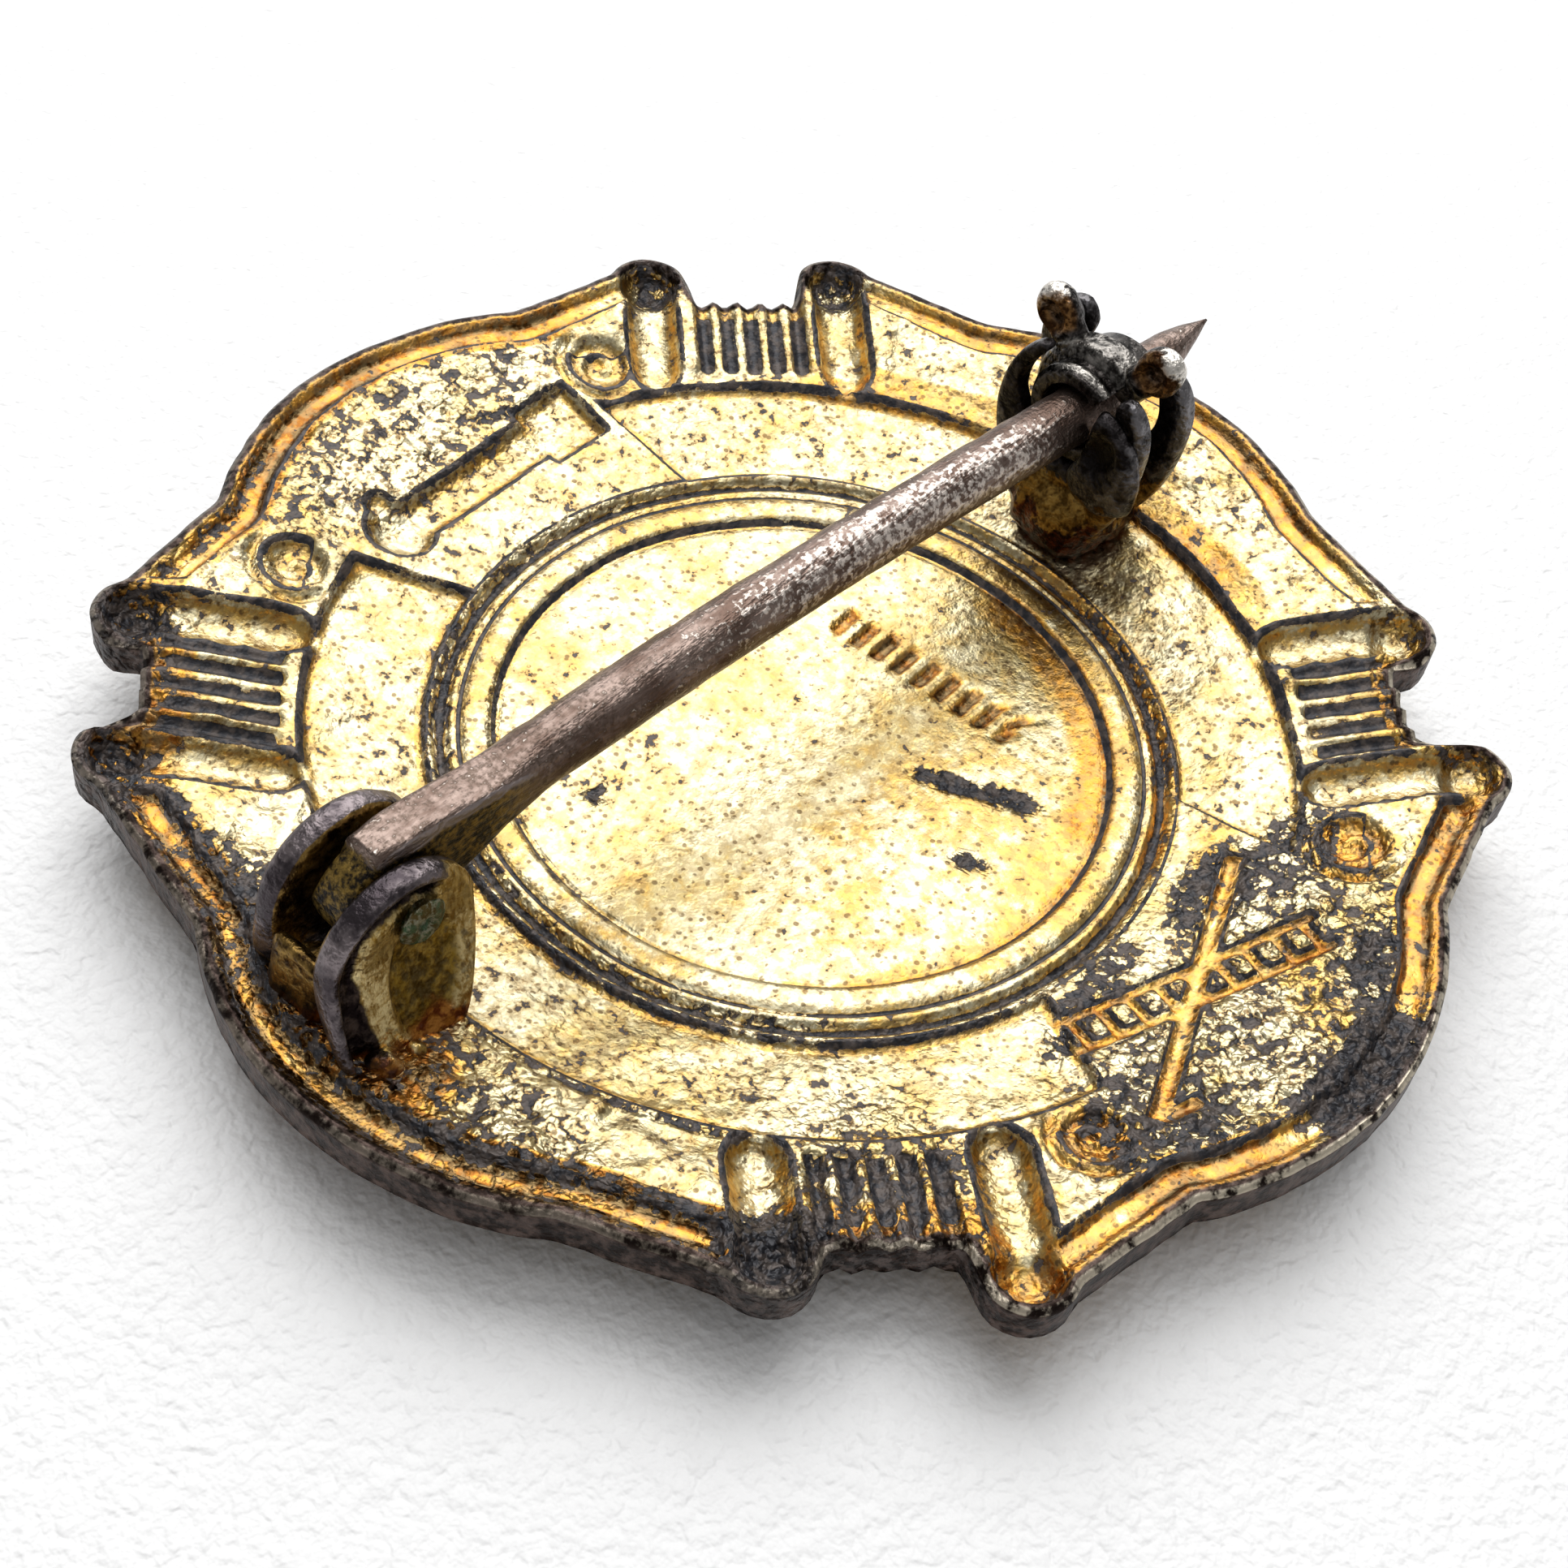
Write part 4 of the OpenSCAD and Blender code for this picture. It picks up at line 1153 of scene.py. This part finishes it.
def pin_rings():
    """Sections along the pin, from the knuckle to the point."""
    turn, ct, st = round_steps(56)
    rings = []
    for a in pin_stations:
        # the flattened part is an oblong with filed edges, the rest is round
        flat = 1 - eased(a, 2.2, 3.8)
        edge = math.sqrt(max(knuckle_r ** 2 - min(a, 0) ** 2, 0))
        rise = eased(a, -0.5, -0.34)
        top = np.interp(a, *tongue_tops.T) if a > 0 else (rivet_z + edge) * (1 - rise) + tongue_top * rise
        low = rivet_z - edge if a < 0 else np.interp(a, *tongue_lows.T)
        wire = np.interp(a, *wire_taper.T)
        wide = tongue_half * flat + wire * (1 - flat)
        middle, tall = ((top + low) / 2, (top - low) / 2) if a < 3.6 else (axis_z, wire)
        power = (0.22 + 0.2 * eased(a, 0.3, -0.4)) * flat + (1 - flat)
        arch = wire_arch * math.sin(math.pi * min(max((a - 2) / 16.6, 0), 1)) ** 1.3
        arch += tip_bend * eased(a, 20.9, 24.6)
        rub = 0.02 * uneven(np.full(len(turn), a * 2.0), turn * 1.5, 0.8, 41)
        across = tongue_off * flat + wide * squarer(ct, power) + rub * ct
        up = middle + arch + tall * squarer(st, power) + rub * 0.5
        rings.append(fastened(-rivet_reach + a, across, up))
    return rings


pin = welded("pin", [skinned("pin", pin_rings())])
mesh = pin.data
along, across, up = fastening_places(mesh)
station = along + rivet_reach
edge = np.abs(np.abs(across - tongue_off) - tongue_half)
# painted highlight: the upper side of the wire's middle that faces the camera is painted pale, partly as worn
# metal
between = eased(along, -6, 2) * (1 - eased(along, 6, 8.4))
rubbed = eased((up - axis_z) * 0.75 - across * 0.66, 0.25, 0.6) * between
bevel = (1 - eased(edge, 0.02, 0.09)) * eased(up, 4.9, 5.1) * (1 - eased(station, 3.0, 3.8))
carry(mesh, along=station, over=(up - axis_z) / pin_r, rubbed=rubbed, bevel=bevel)


def drawn_wire(start, place):
    along, over, rubbed, bevel = start.marks("along", "over", "rubbed", "bevel")
    streak = place.stretched((0.25, 1.4, 1.4)).noise(0.22, 3.0, 0.65)
    cloud = place.noise(1.2, 3.0, 0.6)
    grit = place.noise(0.13, 2.0, 0.6, 0.0, 5.0)
    brown = (cloud * 0.6 + streak * 0.4).rise(0.38, 0.62).mix((0.125, 0.082, 0.064), (0.32, 0.245, 0.21))
    colour = ((streak * 0.5 + grit * 0.5).rise(0.46, 0.62) * 0.8).mix(brown, (0.075, 0.05, 0.036))
    # pale painted highlight on the camera's side of the wire, broken up into worn flecks
    bright = (rubbed * 0.4 + (streak - 0.5) * 0.6 + (grit - 0.5) * 1.7).rise(0.24, 0.6)
    colour = (bright * 0.85).mix(colour, (0.92, 0.82, 0.74))
    colour = ((bevel + (grit - 0.5)).rise(0.3, 0.7) * 0.7).mix(colour, (0.36, 0.31, 0.30))
    # gold and black crust on the knuckle and under the tongue, kept off the top facet: tarnish, darkened as
    # painted shade on the sides and underside
    crust = (over * -1.3 + along * -0.1 + 1.5 + (cloud - 0.5) * 1.6).rise(0.2, 0.5) * along.rise(3.6, 2.2)
    gold = (grit * 0.6 + cloud * 0.4).rise(0.42, 0.66).mix((0.010, 0.007, 0.005), (0.30, 0.19, 0.04))
    return {
        "Base Color": crust.mix(colour, gold),
        "Metallic": 1 - crust * 0.3,
        "Roughness": grit * 0.3 + 0.24,
        "Bump": (streak + grit * 0.7 + crust * cloud, 0.04),
    }


mesh.materials.append(finish_of("drawn_wire", drawn_wire))
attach(pin, "pin")
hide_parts("pin_stem")


# ---- Rotor -----------------------------------------------------------------------------------
# The safety catch's slotted barrel with its flange, cast in one with two thumb tabs that are
# dished in front. Black with tarnish, brown in the dishes and bright on the tips of the tabs.
rotor_r, bore_r, flange_r, rotor_turn, slot_w, wall_mid = 1.15, 0.76, 1.45, 85, 1.4, 0.95
tab_reach, tab_mid, stem_r = 2.72, 2.1, 0.4
tab_wide, tab_thick, dish_deep = 0.52, 0.42, 0.3
barrel_half, flange_half = catch_w / 2, 0.4
rotor_mid = catch_reach + catch_w / 2


def barrel():
    """A profile swept round the pin's line, but for the slot."""
    slot_half = math.asin(slot_w / 2 / wall_mid)
    opening = math.radians(90 - rotor_turn)
    front, back = barrel_half - 0.06, barrel_half
    # place along the pin and radius, round the barrel's wall: bore, ends, beads and flange
    profile = [
        (-front, bore_r + 0.04), (-front + 0.04, bore_r), (back - 0.04, bore_r), (back, bore_r + 0.04),
        (back, rotor_r - 0.06), (back - 0.06, rotor_r),
        (flange_half + 0.04, rotor_r), (flange_half, rotor_r + 0.06),
        (flange_half - 0.04, flange_r - 0.1), (flange_half - 0.14, flange_r), (0.08, flange_r - 0.03),
        (-0.08, flange_r - 0.03), (-flange_half + 0.14, flange_r), (-flange_half + 0.04, flange_r - 0.1),
        (-flange_half, rotor_r - 0.02), (-flange_half - 0.06, rotor_r - 0.06),
        (-0.62, rotor_r - 0.06), (-0.67, rotor_r), (-0.78, rotor_r), (-0.83, rotor_r - 0.08),
        (-front + 0.03, rotor_r - 0.08), (-front, rotor_r - 0.12),
    ]
    a, r = np.array(profile).T
    return skinned("barrel", [
        fastened(rotor_mid + a, -r * math.cos(way), axis_z + r * math.sin(way))
        for way in np.linspace(opening + slot_half, opening + 2 * math.pi - slot_half, 84)
    ])


def tab(lean):
    """A stout stem that swells into an egg, dished on the side towards the hinge."""
    lean = math.radians(lean)
    turn, ct, st = round_steps(44)
    egg_half = tab_reach - tab_mid
    rings = []
    egg_rows = tab_mid + egg_half * np.sin(np.linspace(-1.4, 1.566, 34))
    for far in (*np.linspace(0.95, 1.5, 6), *egg_rows):
        egg = math.sqrt(max(1 - ((far - tab_mid) / egg_half) ** 2, 0))
        neck = 0.0 if far > tab_mid else 1.0
        a = max(tab_thick * egg, (stem_r - 0.04) * neck) * ct
        b = max(tab_wide * egg, stem_r * neck) * st
        dish = dish_deep * (1 - eased(np.hypot((far - tab_mid + 0.04) / 0.47, b / 0.37), 0.35, 1.0))
        a = np.where(ct < 0, np.minimum(a + dish, np.maximum(a, 0.02)), a)
        b = b + 0.03 * uneven(np.full(len(turn), far * 3), turn * 1.3, 0.8, 51)
        rings.append(fastened(
            rotor_mid + a, -(far * math.sin(lean) + b * math.cos(lean)),
            axis_z + far * math.cos(lean) - b * math.sin(lean),
        ))
    return skinned("tab", rings)


rotor = welded("safety_rotor", [barrel(), tab(-43), tab(39)])
mesh = rotor.data
along, across, up = fastening_places(mesh)
reach = np.hypot(across, up - axis_z)
dish = eased(rotor_mid - 0.12 - along, -0.06, 0.06) * eased(reach, 1.6, 1.75) * (1 - eased(reach, 2.5, 2.65))
carry(mesh, reach=reach, dish=dish, top=eased(up, axis_z + 0.4, axis_z + 0.8), station=along - rotor_mid)


def worn_black(start, place):
    reach, dish, top, station = start.marks("reach", "dish", "top", "station")
    cloud = place.noise(0.6, 3.0, 0.6)
    grit = place.noise(0.17, 2.0, 0.6, 0.0, 2.0)
    mixed = grit * 0.5 + cloud * 0.5
    colour = mixed.rise(0.42, 0.62).mix((0.012, 0.010, 0.009), (0.11, 0.098, 0.092))
    brown = mixed.rise(0.42, 0.6).mix((0.045, 0.018, 0.006), (0.27, 0.14, 0.05))
    colour = dish.mix(colour, brown)
    bands = reach.rise(1.12, 1.14) * reach.rise(1.3, 1.2) + reach.rise(1.38, 1.43) * reach.rise(1.55, 1.48)
    tips = (reach + (mixed - 0.5) * 2.0).rise(2.38, 2.66)
    saddle = station.band(0, 0.7, 0.06) * 0.3
    front = station.band(-0.72, 0.16, 0.06) * 0.55
    round_wall = top * reach.rise(1.56, 1.48)
    worn = tips.most((saddle.most(front) + bands * 0.1) * round_wall * mixed.rise(0.36, 0.58))
    return {
        "Base Color": (worn * (1 - dish * 0.6)).mix(colour, (0.72, 0.68, 0.62)),
        "Metallic": 0.95,
        "Roughness": grit * 0.3 + 0.2,
        "Bump": (grit + cloud, 0.06),
    }


mesh.materials.append(finish_of("worn_black", worn_black))
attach(rotor, "rotor")
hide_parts("catch_rotor")
